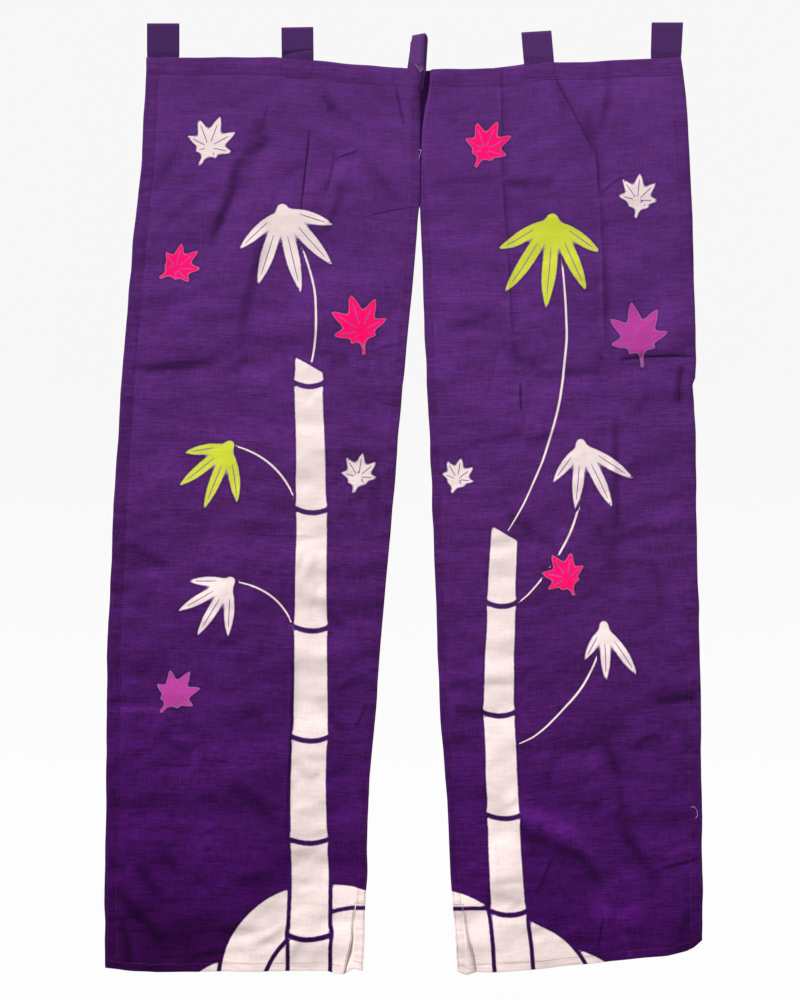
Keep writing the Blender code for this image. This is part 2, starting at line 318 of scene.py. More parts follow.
# %% Main folds of the left panel
Fold = namedtuple("Fold", "x0 drop0 x1 drop1 bow spread depth")
LEFT_FOLDS = rows(
    Fold,
    (-240, 175, -335, 345, 10, 19, 8),
    (-243, 345, -287, 488, -6, 18, 5),
    (-210, 180, -285, 330, 8, 24, -3),
    (-180, 170, -186, 292, 0, 15, 3.5),
    (-145, 115, -6, 292, -14, 16, 5),
    (-92, 120, -18, 240, -8, 14, 3),
    (-110, 150, -30, 282, -10, 14, -3),
    (-240, 320, -108, 212, 26, 17, 3.5),
    (-418, 318, -342, 242, 4, 22, 2.5),
    (-466, 549, -288, 522, -4, 15, 8),
    (-462, 520, -300, 500, 0, 20, -4),
    (-300, 523, -26, 508, 5, 16, 3.5),
    (-292, 806, -54, 805, 0, 15, 3),
    (-470, 806, -355, 878, 6, 19, 4),
    (-196, 890, -104, 950, -5, 17, 5),
    (-170, 880, -80, 925, -5, 20, -3),
    (-190, 955, -206, 1270, 0, 15, 4),
    (-491, 1066, -380, 1066, 0, 14, -5),
    (-491, 1090, -370, 1087, 0, 14, 4),
    (-405, 1114, -315, 1165, 4, 18, 4),
    (-303, 1182, -202, 1257, -4, 18, 4.5),
    (-205, 1140, -106, 1175, -4, 16, 5),
    (-348, 990, -344, 1270, 0, 24, -3),
    (-493, 1335, -392, 1450, 8, 17, 6),
    (-493, 1398, -400, 1482, 6, 15, -4),
    (-335, 1460, -212, 1382, 6, 19, 5),
)
print("main folds at the left:", len(LEFT_FOLDS))

# %% Main folds of the right panel
RIGHT_FOLDS = rows(
    Fold,
    (131, 100, 146, 505, 0, 15, 4),
    (212, 80, 277, 190, -4, 16, 4),
    (302, 80, 274, 190, 2, 16, 4),
    (275, 180, 291, 505, 3, 16, 5),
    (290, 500, 311, 850, 0, 16, 4),
    (230, 110, 245, 500, 0, 30, -3),
    (14, 264, 208, 252, 6, 15, 4),
    (28, 487, 114, 453, 0, 18, 3.5),
    (148, 520, 268, 548, -6, 16, 7),
    (262, 548, 433, 516, -4, 15, 8),
    (250, 520, 425, 492, 0, 20, -4),
    (15, 660, 284, 640, 0, 16, 3),
    (20, 816, 144, 810, 0, 15, 4),
    (132, 756, 188, 802, -3, 17, 5),
    (180, 802, 437, 795, 0, 17, 3),
    (356, 1063, 441, 1057, 0, 13, 6),
    (350, 1042, 441, 1036, 0, 16, -3),
    (278, 1080, 316, 1260, -8, 18, 5),
    (312, 1252, 364, 1345, 4, 18, 5),
    (104, 1200, 268, 1288, -6, 24, -9),
    (112, 1244, 297, 1350, -14, 18, 7),
    (222, 1290, 314, 1418, 8, 18, 4.5),
    (350, 1330, 441, 1306, 4, 14, 6),
    (194, 1366, 213, 1302, 0, 16, 3.5),
    (264, 1396, 258, 1472, 0, 16, 4),
    (60, 1000, 130, 1180, 6, 26, -4),
)
FOLDS = {"left": LEFT_FOLDS, "right": RIGHT_FOLDS}
print("main folds at the right:", len(RIGHT_FOLDS))

# %% How a fold shapes the cloth
FOLD_SHARE = 0.3  # of a solid's fold in the fine cloth, whose creases take the rest
LEANING = (-0.85, -0.52)  # the way in which the steep flanks lie, across and down
STEEP, GENTLE = 0.8, 1.25  # how wide the two flanks are, in spreads
FOLD_END = 6  # the higher, the later a fold fades towards its ends
# Long waves of the hanging cloth, at their full depth at the hem.
Wave = namedtuple("Wave", "length lean start depth")
WAVES = rows(Wave, (460, 0.22, 60, 6.0), (205, -0.14, 20, 3.0))


def beside(line, x, y):
    """How far along a bowed line a place lies, from 0 to 1, and how far to its side."""
    run_x, run_y = line[2] - line[0], line[3] - line[1]
    length = math.hypot(run_x, run_y)
    along = ((x - line[0]) * run_x + (y - line[1]) * run_y) / length**2
    aside = ((x - line[0]) * run_y - (y - line[1]) * run_x) / length
    return along, aside - line[4] * 4 * along * (1 - along)


def fade_ends(along, power):
    """1 along the middle of a line, and 0 at both of its ends and past them."""
    return np.clip(1 - (2 * along - 1) ** power, 0, None)


def flank_spread(fold, aside):
    """How wide a fold is on the side of it where a place lies. Folds that were pressed flat
    lean over, so one flank is steeper than the other."""
    towards = (fold.drop1 - fold.drop0) * LEANING[0] - (fold.x1 - fold.x0) * LEANING[1]
    steep = aside * towards * fold.depth > 0
    return fold.spread * np.where(steep, STEEP, GENTLE)


def fold_depth(fold, x, drop):
    """The depth that one fold gives the cloth at a place."""
    along, aside = beside(fold, x, drop)
    across = np.exp(-((aside / flank_spread(fold, aside)) ** 2))
    return fold.depth * fade_ends(along, FOLD_END) * across


example = fold_depth(LEFT_FOLDS[0], -287, 260)
print("depth halfway along the first fold:", round(float(example), 2), "mm")

# %% [markdown]
# The solids hold the main folds. The fine cloth adds the narrow ones: the creases where the
# packed layers were pressed together. Each is a row again. A depth below zero is a ridge. A
# crease also gets painted shade, as little light gets into it, and a ridge gets a painted
# highlight. The last column is that painted shade, dark above zero and a painted highlight
# below it. Each vertex stores the sum of the soft painted shades. The narrow ones are
# thinner than the grid, so for them it stores on which side of the nearest line it is and how
# far from it, and the material draws the line where that value crosses zero.

# %% Creases of the left panel
# The last column, dark, is painted shade along the crease, and a painted highlight below zero.
Crease = namedtuple("Crease", "x0 drop0 x1 drop1 bow spread depth dark")
LEFT_CREASES = rows(
    Crease,
    (-216, 86, -171, 88, -1, 2, -0.8, 0.36),
    (-215, 60, -217, 84, 0, 2, -0.5, 0.14),
    (-168, 62, -169, 86, 0, 2, -0.5, 0.17),
    (-231, 182, -280, 209, 3, 8, 1.9, 0.38),
    (-280, 207, -297, 262, -3, 8, -3, 0.38),
    (-287, 254, -329, 350, 0, 6.5, 2, 0.52),
    (-243, 316, -288, 504, -1, 9.4, -2.6, 0.36),
    (-247, 321, -146, 326, -14, 9, 0.6, 0.32),
    (-123, 239, -158, 336, 5, 7.8, -2.2, 0.22),
    (-172, 165, -187, 303, 0, 1.9, 0.6, 0.66),
    (-92, 215, -25, 290, 1, 9.4, 1.2, 0.26),
    (-143, 131, -79, 189, 1, 9.4, 3.2, 0.2),
    (-153, 113, -134, 140, 1, 7.8, 1.2, 0.34),
    (-132, 213, -94, 200, 0, 1.6, -1, 0.6),
    (-237, 129, -248, 169, 0, 2.9, 0.8, 0.27),
    (-254, 147, -261, 175, -1, 11.7, -2.6, 0.12),
    (-227, 138, -202, 182, 0, 7.8, 1.2, 0.06),
    (-38, 99, -25, 162, 0, 2.9, 1.8, 0.42),
    (-373, 194, -416, 268, -3, 9.4, 0.5, 0.27),
    (-348, 278, -405, 323, -3, 7.8, 0.7, 0.22),
    (-95, 308, -1, 289, 3, 1.5, 0.2, 0.45),
    (-134, 201, -150, 271, 3, 2.9, 0.7, 0.34),
    (-460, 536, -316, 522, -5, 9, -3.5, 0.42),
    (-312, 551, -264, 519, 2, 7.8, -1, 0.27),
    (-294, 573, -266, 577, -1, 6.2, 2, 0.02),
    (-68, 512, -24, 504, 3, 2.9, -0.1, 0.38),
    (-144, 544, -108, 523, 2, 7.8, 1, 0.24),
    (-159, 669, -109, 669, 0, 2.9, -1.3, 0.2),
    (-63, 595, -28, 600, 0, 1.9, 0.7, 0.3),
    (-276, 800, -164, 805, 0, 1.9, -1.4, 0.34),
    (-100, 812, -35, 799, 0, 1.9, -0.9, 0.25),
    (-469, 809, -390, 854, 0, 9, -3, 0.36),
    (-268, 862, -314, 896, 3, 9.4, 0.2, 0.24),
    (-194, 894, -162, 903, 0, 9, 0.2, 0.42),
    (-165, 900, -117, 954, 1, 10, 1.2, 0.38),
    (-195, 966, -209, 1269, 0, 2.8, -1.5, 0.46),
    (-111, 1001, -58, 989, 6, 6.2, 1.3, 0.35),
    (-132, 1052, -67, 1032, 9, 6.2, 1, 0.39),
    (-158, 1064, -111, 1116, -1, 8, 1.2, 0.42),
    (-102, 1102, -84, 1062, -3, 2.9, 0.3, 0.5),
    (-494, 1077, -381, 1077, 0, 7.8, -3, -0.85),
    (-455, 1088, -410, 1088, 0, 5.5, 1, 0.3),
    (-488, 1059, -456, 1059, 0, 5.5, 1, 0.3),
    (-278, 1083, -235, 1084, 0, 6.2, 2.5, 0.16),
    (-414, 1105, -355, 1139, -5, 9, -3, 0.42),
    (-350, 1150, -297, 1153, -1, 6, -2, 0.38),
    (-300, 1193, -266, 1202, 1, 9, 0.3, 0.36),
    (-268, 1199, -211, 1261, -5, 9, 1.2, 0.36),
    (-203, 1140, -158, 1177, -7, 9, -4, 0.45),
    (-162, 1180, -107, 1158, -6, 9.5, 1.1, 0.38),
    (-488, 1320, -457, 1329, 0, 7.8, 3, 0.27),
    (-484, 1349, -396, 1443, 2, 11, 1.2, 0.52),
    (-443, 1309, -405, 1368, -3, 9.5, 1.2, 0.49),
    (-416, 1277, -373, 1339, 0, 9.5, 1.2, 0.37),
    (-305, 1339, -247, 1330, 0, 9.4, -3.4, 0.25),
    (-315, 1432, -216, 1371, -3, 11, -0.1, 0.55),
    (-382, 1469, -266, 1446, 3, 6.2, -1.8, 0.52),
    (-268, 1442, -214, 1422, 1, 9.4, -3.2, 0.33),
    (-465, 1396, -452, 1475, 1, 7.8, 2.2, 0.47),
    (-217, 1468, -186, 1429, 0, 11.7, -3.5, 0.16),
    (-300, 991, -247, 992, -1, 9.4, -2.5, 0.11),
    (-454, 905, -421, 908, -2, 9.5, -1.8, 0.29),
    (-73, 677, -75, 794, 3, 9.5, -0.7, 0.22),
    (-165, 829, -179, 875, 0, 7.8, -1.5, 0.18),
)
print("creases at the left:", len(LEFT_CREASES))

# %% Creases of the right panel
RIGHT_CREASES = rows(
    Crease,
    (128, 66, 129, 247, 0, 2.6, -1.6, 0.32),
    (130, 246, 138, 356, 0, 2.6, -1.4, 0.35),
    (138, 350, 145, 489, 0, 2.6, -1.6, 0.35),
    (125, 246, 176, 251, 1, 8, -3.3, 0.27),
    (170, 250, 211, 238, -5, 9.5, -1.7, 0.28),
    (10, 258, 125, 251, 5, 6.2, 0.5, 0.2),
    (-3, 304, 50, 296, 1, 9.4, -1.5, 0.23),
    (207, 75, 234, 153, 1, 6.2, 1.2, 0.2),
    (210, 84, 276, 210, 0, 2.6, -1, 0.35),
    (160, 88, 208, 86, 0, 2, -0.8, 0.34),
    (163, 64, 165, 86, 0, 2, -0.5, 0.14),
    (208, 62, 211, 84, 0, 2, -0.5, 0.2),
    (297, 65, 280, 171, 0, 6.2, -2.4, 0.22),
    (260, 138, 276, 201, -3, 7.8, 0.2, 0.26),
    (275, 193, 281, 275, 0, 2.6, -2, 0.46),
    (282, 269, 290, 513, 1, 2.9, -2.8, 0.32),
    (282, 271, 319, 243, 3, 2.4, -0.6, 0.45),
    (35, 489, 130, 444, 1, 9.4, -0.1, 0.27),
    (147, 497, 158, 538, -3, 9.5, 1, 0.32),
    (154, 514, 213, 552, -6, 9.5, -3.7, 0.27),
    (212, 548, 282, 542, -1, 7.8, 0, 0.36),
    (279, 517, 288, 533, 0, 2.9, 1.2, 0.28),
    (309, 528, 431, 522, 3, 2.4, 1.5, 0.72),
    (157, 563, 159, 610, -1, 2.4, -0.7, 0.61),
    (160, 645, 197, 644, -3, 11.7, -3.8, 0.01),
    (28, 653, 287, 636, 0, 7.8, -1.4, -0.09),
    (126, 499, 104, 596, -1, 1.9, 0.8, 0.08),
    (302, 606, 305, 797, 0, 6.2, -2.9, 0.36),
    (315, 683, 400, 678, 3, 11.7, -2.5, 0.12),
    (411, 538, 410, 600, -1, 6.2, 4, 0.21),
    (362, 575, 330, 613, -3, 9.4, -1.8, 0.07),
    (130, 766, 173, 796, 4, 9.5, -1.1, 0.29),
    (164, 793, 215, 814, -3, 9.5, 0.4, 0.29),
    (213, 797, 281, 798, 0, 9.4, -2.9, -0.18),
    (22, 814, 143, 806, 0, 9.4, -3.7, 0.06),
    (309, 797, 294, 864, 0, 11.7, 0.7, 0.2),
    (356, 790, 393, 788, -1, 6.2, -2.7, -0.03),
    (413, 791, 431, 792, 0, 6.2, -1, 0.3),
    (368, 841, 379, 922, 1, 6.2, 0.6, 0.2),
    (162, 895, 200, 894, 2, 6.2, -0.9, 0.01),
    (106, 862, 156, 888, 0, 1.9, -0.9, -0.07),
    (41, 1034, 80, 1038, 1, 7.8, -2.3, 0.3),
    (50, 1075, 107, 1076, 0, 8, 0, 0.5),
    (31, 1000, 81, 1003, 0, 6.2, 1.7, 0.24),
    (366, 1064, 438, 1056, 1, 7.8, 3, 0.7),
    (287, 1118, 320, 1189, -2, 9.4, 1.2, 0.4),
    (311, 1190, 318, 1266, -1, 6.2, -0.5, 0.28),
    (317, 1258, 358, 1323, -2, 9.4, 1.2, 0.54),
    (354, 1317, 370, 1358, 3, 9.5, 1.2, 0.37),
    (211, 1112, 191, 1189, 3, 7.8, -1.1, 0.18),
    (150, 1178, 207, 1176, 3, 9, -1.2, 0.3),
    (242, 1222, 285, 1222, -3, 7.8, -1.5, 0.36),
    (332, 1136, 368, 1110, 4, 6.2, -1.9, 0.3),
    (400, 1123, 431, 1122, 0, 7.8, -1.9, 0.29),
    (110, 1227, 135, 1249, 0, 6, 1, 0.15),
    (166, 1272, 194, 1313, 0, 7.8, 1.2, 0.2),
    (207, 1302, 180, 1364, 1, 2.9, -0.8, 0.41),
    (102, 1355, 160, 1375, 1, 7.8, -0.5, 0.67),
    (289, 1397, 278, 1453, -1, 1.9, -0.1, 0.59),
    (375, 1322, 440, 1305, -1, 2.8, -1.5, 0.68),
    (380, 1306, 440, 1290, -1, 7, -2.5, -0.35),
    (428, 1378, 400, 1444, -3, 7.8, -0.7, 0.38),
    (317, 1426, 333, 1463, 0, 6.2, -1.2, -0.31),
    (302, 1412, 348, 1379, 3, 7.8, -1.3, -0.43),
    (258, 1381, 300, 1389, 1, 11.7, 3, -0.5),
    (125, 1206, 272, 1290, 0, 16, 0.5, -0.83),
    (130, 1255, 262, 1312, 4, 12, -1.3, 0.55),
    (241, 1290, 286, 1360, 4, 9.5, 1.2, 0.44),
)
CREASES = {"left": LEFT_CREASES, "right": RIGHT_CREASES}
print("creases at the right:", len(RIGHT_CREASES))

# %% How a crease shows
NARROW = 5  # a crease of less spread than this is thinner than the grid
LINE_REACH = 1.67  # how far its dark line reaches in all, in spreads
LINE_STEEPER = 8  # mm past which a line's value grows fast, so that no other line shows there
CREASE_END = 4  # the higher, the later a line fades towards its ends
FAR = 99.0  # a distance that is nowhere near a line


def crease_share(crease, x, drop):
    """How much of a crease there is at a place, from 0 to 1."""
    along, aside = beside(crease, x, drop)
    across = np.exp(-((aside / max(crease.spread, NARROW)) ** 2))
    return fade_ends(along, CREASE_END) * across


def line_growth(aside):
    """How much faster than its distance the value of a line grows."""
    return 1 + (aside / LINE_STEEPER) ** 4


def nearest(values, *others):
    """Of several line values the one closest to its line, and what the other lists hold for
    that line."""
    closest = abs(np.array(values)).argmin(0)[None]
    return [np.take_along_axis(np.array(found), closest, 0)[0] for found in (values, *others)]


def dark_line(side, x, drop):
    """The signed distance to the nearest narrow crease, in reaches, and its painted shade."""
    values, darkness = [], []
    for crease in CREASES[side]:
        if crease.spread >= NARROW:
            continue
        along, aside = beside(crease, x, drop)
        fade = fade_ends(along, CREASE_END)
        grown = abs(aside) / (LINE_REACH * crease.spread) * line_growth(aside)
        values.append(np.sign(aside) * (grown + FAR * (fade == 0)))
        darkness.append(crease.dark * np.sqrt(fade))
    return nearest(values, darkness)


def crease_shade(side, x, drop):
    """What the material needs of the creases: the dark line's two values and the soft painted
    shade.
    """
    wide = [crease for crease in CREASES[side] if crease.spread >= NARROW]
    shade = sum(crease.dark * crease_share(crease, x, drop) for crease in wide)
    return np.stack([*dark_line(side, x, drop), shade], axis=-1)


narrow = [crease for crease in LEFT_CREASES + RIGHT_CREASES if crease.spread < NARROW]
print("narrow creases:", len(narrow))

# %% [markdown]
# Between its creases worn cotton is never flat. Two more things make it uneven: soft ripples
# of a few sizes, from smooth noise, and a scatter of short faint wrinkles. Both come from
# seeded random numbers, so the cloth is the same each time.

# %% Ripples and small wrinkles
SEED = {"left": 11, "right": 23}
Ripple = namedtuple("Ripple", "across down depth foot")  # depth at the heading and at the hem
RIPPLES = rows(
    Ripple,
    (150, 66, 1.1, 8.0), (66, 30, 0.55, 5.0), (30, 15, 0.22, 1.8), (14, 9, 0.1, 0.4),
)
NOISE_CELLS = 200  # along each side of the grid of random values
WRINKLES = 150  # on each panel
WRINKLE_DROPS = (110, 1460)
WRINKLE_SHARES = (0.04, 0.95)  # of the width, from the slit
WRINKLE_GROWTH = 1.2  # how much deeper they are at the hem than at the heading
WRINKLE_LENGTH = (24, 78)
WRINKLE_LEAN = 32  # degrees, how far they typically lean from level
WRINKLE_SPREAD = (3.2, 6.0)
WRINKLE_DEPTH = (0.2, 0.7)
WRINKLE_BOW = (-5, 5)


def smooth_noise(u, v, across, down, seed):
    """Smooth noise from -1 to 1, with random values on a grid of cells of this size."""
    cells = np.random.default_rng(seed).uniform(-1, 1, (NOISE_CELLS, NOISE_CELLS))
    x, y = u / across + NOISE_CELLS / 2, v / down
    column, row = np.floor(x).astype(int), np.floor(y).astype(int)
    to_right, to_next = ease(x - column), ease(y - row)
    value = 0
    for step_x, share_x in ((0, 1 - to_right), (1, to_right)):
        for step_y, share_y in ((0, 1 - to_next), (1, to_next)):
            corner = cells[(column + step_x) % NOISE_CELLS, (row + step_y) % NOISE_CELLS]
            value = value + corner * share_x * share_y
    return value


def small_wrinkles(side):
    """A scatter of short wrinkles over a panel, as rows like those of the creases."""
    random = np.random.default_rng(SEED[side])
    wrinkles = []
    for _ in range(WRINKLES):
        drop = random.uniform(*WRINKLE_DROPS)
        share = random.uniform(*WRINKLE_SHARES)
        x = float(slit_at(side, drop) + OUTWARDS[side] * share * width_at(side, drop))
        half = random.uniform(*WRINKLE_LENGTH) / 2
        lean = math.radians(random.normal(0, WRINKLE_LEAN))
        dx, dy = half * math.cos(lean), half * math.sin(lean)
        depth = random.uniform(*WRINKLE_DEPTH) * random.choice((-1, 1))
        depth *= 1 + WRINKLE_GROWTH * drop / HEM_DROP
        spread = random.uniform(*WRINKLE_SPREAD)
        bow = random.uniform(*WRINKLE_BOW)
        wrinkles.append(Fold(x - dx, drop - dy, x + dx, drop + dy, bow, spread, depth))
    return wrinkles


SMALL_WRINKLES = {side: small_wrinkles(side) for side in OUTWARDS}
print("small wrinkles:", {side: len(found) for side, found in SMALL_WRINKLES.items()})

# %% [markdown]
# At the top centre the panels are sewn one behind the other, with a pleat. The left one rolls
# forward beside the seam and its edge turns back. The right one lies deep behind it and comes
# up in a steep wall a few millimetres further on. The lamp is on the left, so the trench
# between them stays dark: it is the dark wedge under the middle loop.

# %% The pleat at the seam
SEAM_END = 292  # its drop
SEAM_EASE = 90  # the drop below it over which the pleat lets go of the cloth
LAP_EASE = 45  # the width beside the seam over which the other folds fade
Roll = namedtuple("Roll", "from_edge depth")
ROLL = rows(Roll, (0, 2.4), (1.5, 0.9), (4, -1.2), (8, -3.0), (14, -3.6), (24, -2.2), (42, 0))
RollShare = namedtuple("RollShare", "drop share")
ROLL_SHARES = rows(RollShare, (55, 0.3), (78, 0.75), (100, 1), (125, 0.65), (165, 0.25), (292, 0))
# The trench: how wide it is past the left panel's edge and how deep.
Trench = namedtuple("Trench", "drop width depth")
TRENCH = rows(
    Trench,
    (60, 8.5, 10.5), (75, 9.2, 11), (92, 10.3, 11), (115, 11, 10),
    (140, 7.4, 7), (164, 3.6, 4.2), (200, 1.4, 2.6), (292, 0.4, 1.8),
)
TRENCH_WALL = 2.6  # the width of the wall that comes up from it
BEHIND = (1.3, 15)  # how far back the cloth past the wall still lies, and how that fades


def past_seam(drop):
    """0 beside the seam, and 1 well below its end."""
    return ease((drop - SEAM_END) / SEAM_EASE)


def roll_depth(x, drop):
    """How far the left panel's edge rolls forward, and turns back, beside the seam."""
    from_edge = abs(slit_at("left", drop) - x)
    return read(ROLL, "depth", from_edge) * read(ROLL_SHARES, "share", drop)


def trench_depth(x, drop):
    """How far the right panel lies behind the left one near the seam."""
    past_wall = x - slit_at("left", drop) - read(TRENCH, "width", drop)
    inside = 1 - ease(past_wall / TRENCH_WALL + 0.5)
    rest = BEHIND[0] * np.exp(-np.clip(past_wall, 0, None) / BEHIND[1])
    depth = between(rest, read(TRENCH, "depth", drop), inside)
    return depth * (1 - past_seam(drop))


print("trench at the heading:", TRENCH[0])

# %% The whole shape of the cloth
HEADING_HEM = 28  # the stiff hem that the loops are sewn into
HEADING_EASE = 60  # the drop over which the folds grow below it
CREASE_EASE = 22  # the drop over which the creases and ripples do
STIFF_SHARE = 0.2  # how much of the creases and ripples the stiff hem still shows
LAP_CLEAR = 0.3  # the part of the lap where no other fold shows


def cloth_depth(side, x, drop, below_heading):
    """How far the cloth's middle lies behind the plane of the heading."""
    reach = below_heading / (HEM_DROP - HEADING_HEM)
    folds = FOLD_SHARE * sum(fold_depth(fold, x, drop) for fold in FOLDS[side])
    for wave in WAVES:
        turn = 2 * math.pi * (x - wave.start + wave.lean * drop) / wave.length
        folds = folds + wave.depth * reach * np.sin(turn)
    creases = CREASES[side] + SMALL_WRINKLES[side]
    fine = sum(crease.depth * crease_share(crease, x, drop) for crease in creases)
    for number, ripple in enumerate(RIPPLES):
        noise = smooth_noise(x, drop, ripple.across, ripple.down, SEED[side] + number)
        fine = fine + between(ripple.depth, ripple.foot, reach) * noise
    below_hem = below_heading - HEADING_HEM
    depth = folds * ease(below_hem / HEADING_EASE)
    depth = depth + fine * (STIFF_SHARE + (1 - STIFF_SHARE) * ease(below_hem / CREASE_EASE))
    from_seam = abs(x - slit_at("left", drop)) / LAP_EASE
    depth = depth * (1 - (1 - past_seam(drop)) * (1 - ease(from_seam - LAP_CLEAR)))
    return depth + (trench_depth(x, drop) if side == "right" else roll_depth(x, drop))


middle = cloth_depth("left", np.array([-200.0]), np.array([700.0]), np.array([640.0]))
print("depth in the middle of the left panel:", middle.round(2), "mm")

# %% [markdown]
# ## Turned hems
#
# The edges are turned under and sewn, so they are two or three layers thick. A Solidify
# modifier gives the cloth its thickness, and a vertex group makes the hems thicker than the
# rest. The face stays flush and the extra layers show as a step on the back. On the face the
# stitches pull a shallow groove, and the folded edge rolls back a little. The grid's columns
# and rows stand close together there, and beside the pleat, and are even elsewhere.

# %% Hems and the grid
CLOTH = 0.5  # thickness of the cotton
HEM_CLOTH = 1.3  # thickness of a turned hem
FACE = 0.35  # the printed face, in front of the solid's middle
SLIT_HEM = 13.5  # widths of the turned hems
OUTER_HEM = 20.5
BOTTOM_HEM = 13.5
HEM_STEP = 1.0  # the width of the step at a hem's inner edge
# How the stitches pull the face of each hem: the depth at the heading and at the foot, and how
# far the pull reaches into the single cloth and into the hem.
Pull = namedtuple("Pull", "top foot outside inside")
PULLS = rows(Pull, (0.1, 0.16, 2, 2), (0.4, 1.4, 9, 5), (0.5, 0.5, 3.4, 3.4), (0.25, 0.25, 2, 2))
# How far each folded edge turns back, and over what width.
Turn = namedtuple("Turn", "depth width")
TURNS = rows(Turn, (0.4, 0.8), (0.5, 1.2), (1.3, 3.0), (0.6, 1.2))
FOOT_DROP = 850  # from here down the pull is that at the foot
EDGE_WAVER = (0.8, 38)  # how far the sewn edges waver, and over what length
WAVER_WIDTH = 90  # and how wide each waver is
WAVER_SEED = 50
SLIT_COLUMNS = (0, 1, 3.5, 7, 10.5, 12.5, 13.5, 14.5)  # from the slit edge
OUTER_COLUMNS = (21.5, 20.5, 19.5, 16, 12, 8, 4, 1, 0)  # from the outer edge
NEAR_STEPS = 12  # columns that stand close together beside the pleat
NEAR_WIDTH = 1.7  # and how far apart
BODY_STEPS = 88  # columns over the rest of the width
TOP_ROWS = (0, 1, 4, 8, 12, 16, 20, 23, 25.5, 27, 28, 29, 31)  # below the top edge
BOTTOM_ROWS = (14.5, 13.5, 12.5, 10, 7, 3.5, 1, 0)  # above the bottom edge
BODY_ROWS = 372  # and between them
PANEL_LENGTH = 1423  # from the top edge to the foot
COLUMNS = len(SLIT_COLUMNS) + 1 + NEAR_STEPS + BODY_STEPS + len(OUTER_COLUMNS)
print("columns of the grid:", COLUMNS)

# %% Columns, rows and hems
def column_places(side, drop):
    """How far each column of the grid lies from the slit edge, at some drops."""
    width = width_at(side, drop)
    vent = read(VENTS, side, drop) * width
    start, end = vent + VENT_GAP, width - OUTER_COLUMNS[0]
    even = (end - start) / (NEAR_STEPS + BODY_STEPS)
    near = between(NEAR_WIDTH, even, past_seam(drop))
    places = [place + 0 * drop for place in SLIT_COLUMNS] + [vent]
    places += [start + near * step for step in range(NEAR_STEPS)]
    start = start + near * NEAR_STEPS
    places += [start + (end - start) * step / BODY_STEPS for step in range(BODY_STEPS)]
    places += [width - place for place in OUTER_COLUMNS]
    return np.array(places)


def row_fractions():
    """The rows of the grid, as parts of the way from the heading to the hem."""
    start, end = TOP_ROWS[-1], PANEL_LENGTH - BOTTOM_ROWS[0]
    body = [start + (end - start) * step / BODY_ROWS for step in range(1, BODY_ROWS)]
    low = [PANEL_LENGTH - row for row in BOTTOM_ROWS]
    return np.array(list(TOP_ROWS) + body + low) / PANEL_LENGTH


def from_edges(side, from_slit, drop):
    """The distance from each edge of a panel to a place, with the width of the hem there: from
    the slit, the outer edge, the heading and the foot."""
    width = width_at(side, drop)
    share = np.clip(from_slit / width, 0, 1)
    below_heading = drop - read(HEADING[side], "drop", share)
    above_hem = read(HEM[side], "drop", share) - drop
    return (
        (from_slit, SLIT_HEM),
        (width - from_slit, OUTER_HEM),
        (below_heading, HEADING_HEM),
        (above_hem, BOTTOM_HEM),
    )


def hem_weight(edges):
    """1 on the turned hems and 0 on the single cloth, with a step between."""
    steps = [np.clip((hem + HEM_STEP - distance) / HEM_STEP, 0, 1) for distance, hem in edges]
    return np.max(steps, axis=0)


print("rows of the grid:", len(row_fractions()))

# %% The printed face
def face_point(side, from_slit, drop):
    """A point of the printed face, by its distance from the slit edge and its drop."""
    edges = from_edges(side, from_slit, drop)
    x = slit_at(side, drop) + OUTWARDS[side] * from_slit
    below_heading = edges[2][0]
    depth = cloth_depth(side, x, drop, below_heading) - FACE
    for (distance, hem), pull, turn in zip(edges, PULLS, TURNS):
        reach = np.where(distance > hem, pull.outside, pull.inside)
        pulled = between(pull.top, pull.foot, ease(drop / FOOT_DROP))
        depth = depth + pulled * np.exp(-abs(distance - hem) / reach)
        depth = depth + turn.depth * np.exp(-distance / turn.width)
    vent = read(VENTS, side, drop) * width_at(side, drop)
    on_strip = (from_slit < vent + VENT_GAP / 2) * ease((drop - VENT_TOP) / VENT_EASE)
    step = read(VENTS, "step", drop) * VENT_SIDE[side]
    depth = depth + on_strip * step * np.clip(from_slit / vent, 0, 1)
    x = x + OUTWARDS[side] * on_strip * VENT_LAP * np.clip(from_slit / vent, 0, 1)
    waver, length = EDGE_WAVER
    seed = SEED[side] + WAVER_SEED
    x = x + waver * smooth_noise(x, drop, WAVER_WIDTH, length, seed)
    height = -drop + waver * smooth_noise(x, drop, length, WAVER_WIDTH, seed + 1)
    return np.stack([x, depth, height], axis=-1) * MM


corner = face_point("left", np.array([0.0]), np.array([HEM_DROP]))
print("the left panel's inner corner:", corner.round(3), "m")

# %% [markdown]
# ## The print
#
# The design is printed once across both panels: pale bamboo stems, bamboo leaves in pale and
# lime, maple leaves in crimson, orchid and pale, and drifts of snow at the foot. A stencil's
# edge has to stay crisp, and painting vertices would blur it. So each vertex stores how far
# it is from the nearest edge of each colour, below zero inside, and the material cuts at
# zero. Distances blend smoothly between vertices, and the cut stays sharp at any size.
#
# Places on the cloth are measured from the slit, with the left panel below zero, and down
# from the top edge. Angles turn anticlockwise from a motif that points right.

# %% Shapes of the print
def turned(u, v, motif_u, motif_v, angle):
    """How far along and aside a place lies, as seen from a motif that points at an angle."""
    cosine, sine = math.cos(math.radians(angle)), math.sin(math.radians(angle))
    du, dv = u - motif_u, v - motif_v
    return du * cosine - dv * sine, du * sine + dv * cosine


def lens(along, aside, length, width):
    """The distance to a blade with two pointed ends that starts at 0."""
    half, rise = length / 2, width / 2
    shift = (half**2 - rise**2) / (2 * rise)
    x, y = abs(aside), abs(along - half)
    to_tip = np.hypot(x, y - half)
    to_side = np.hypot(x + shift, y) - shift - rise
    return np.where((y - half) * shift > x * half, to_tip, to_side)


JOIN = 9.0  # mm within which two leaves of a motif run together


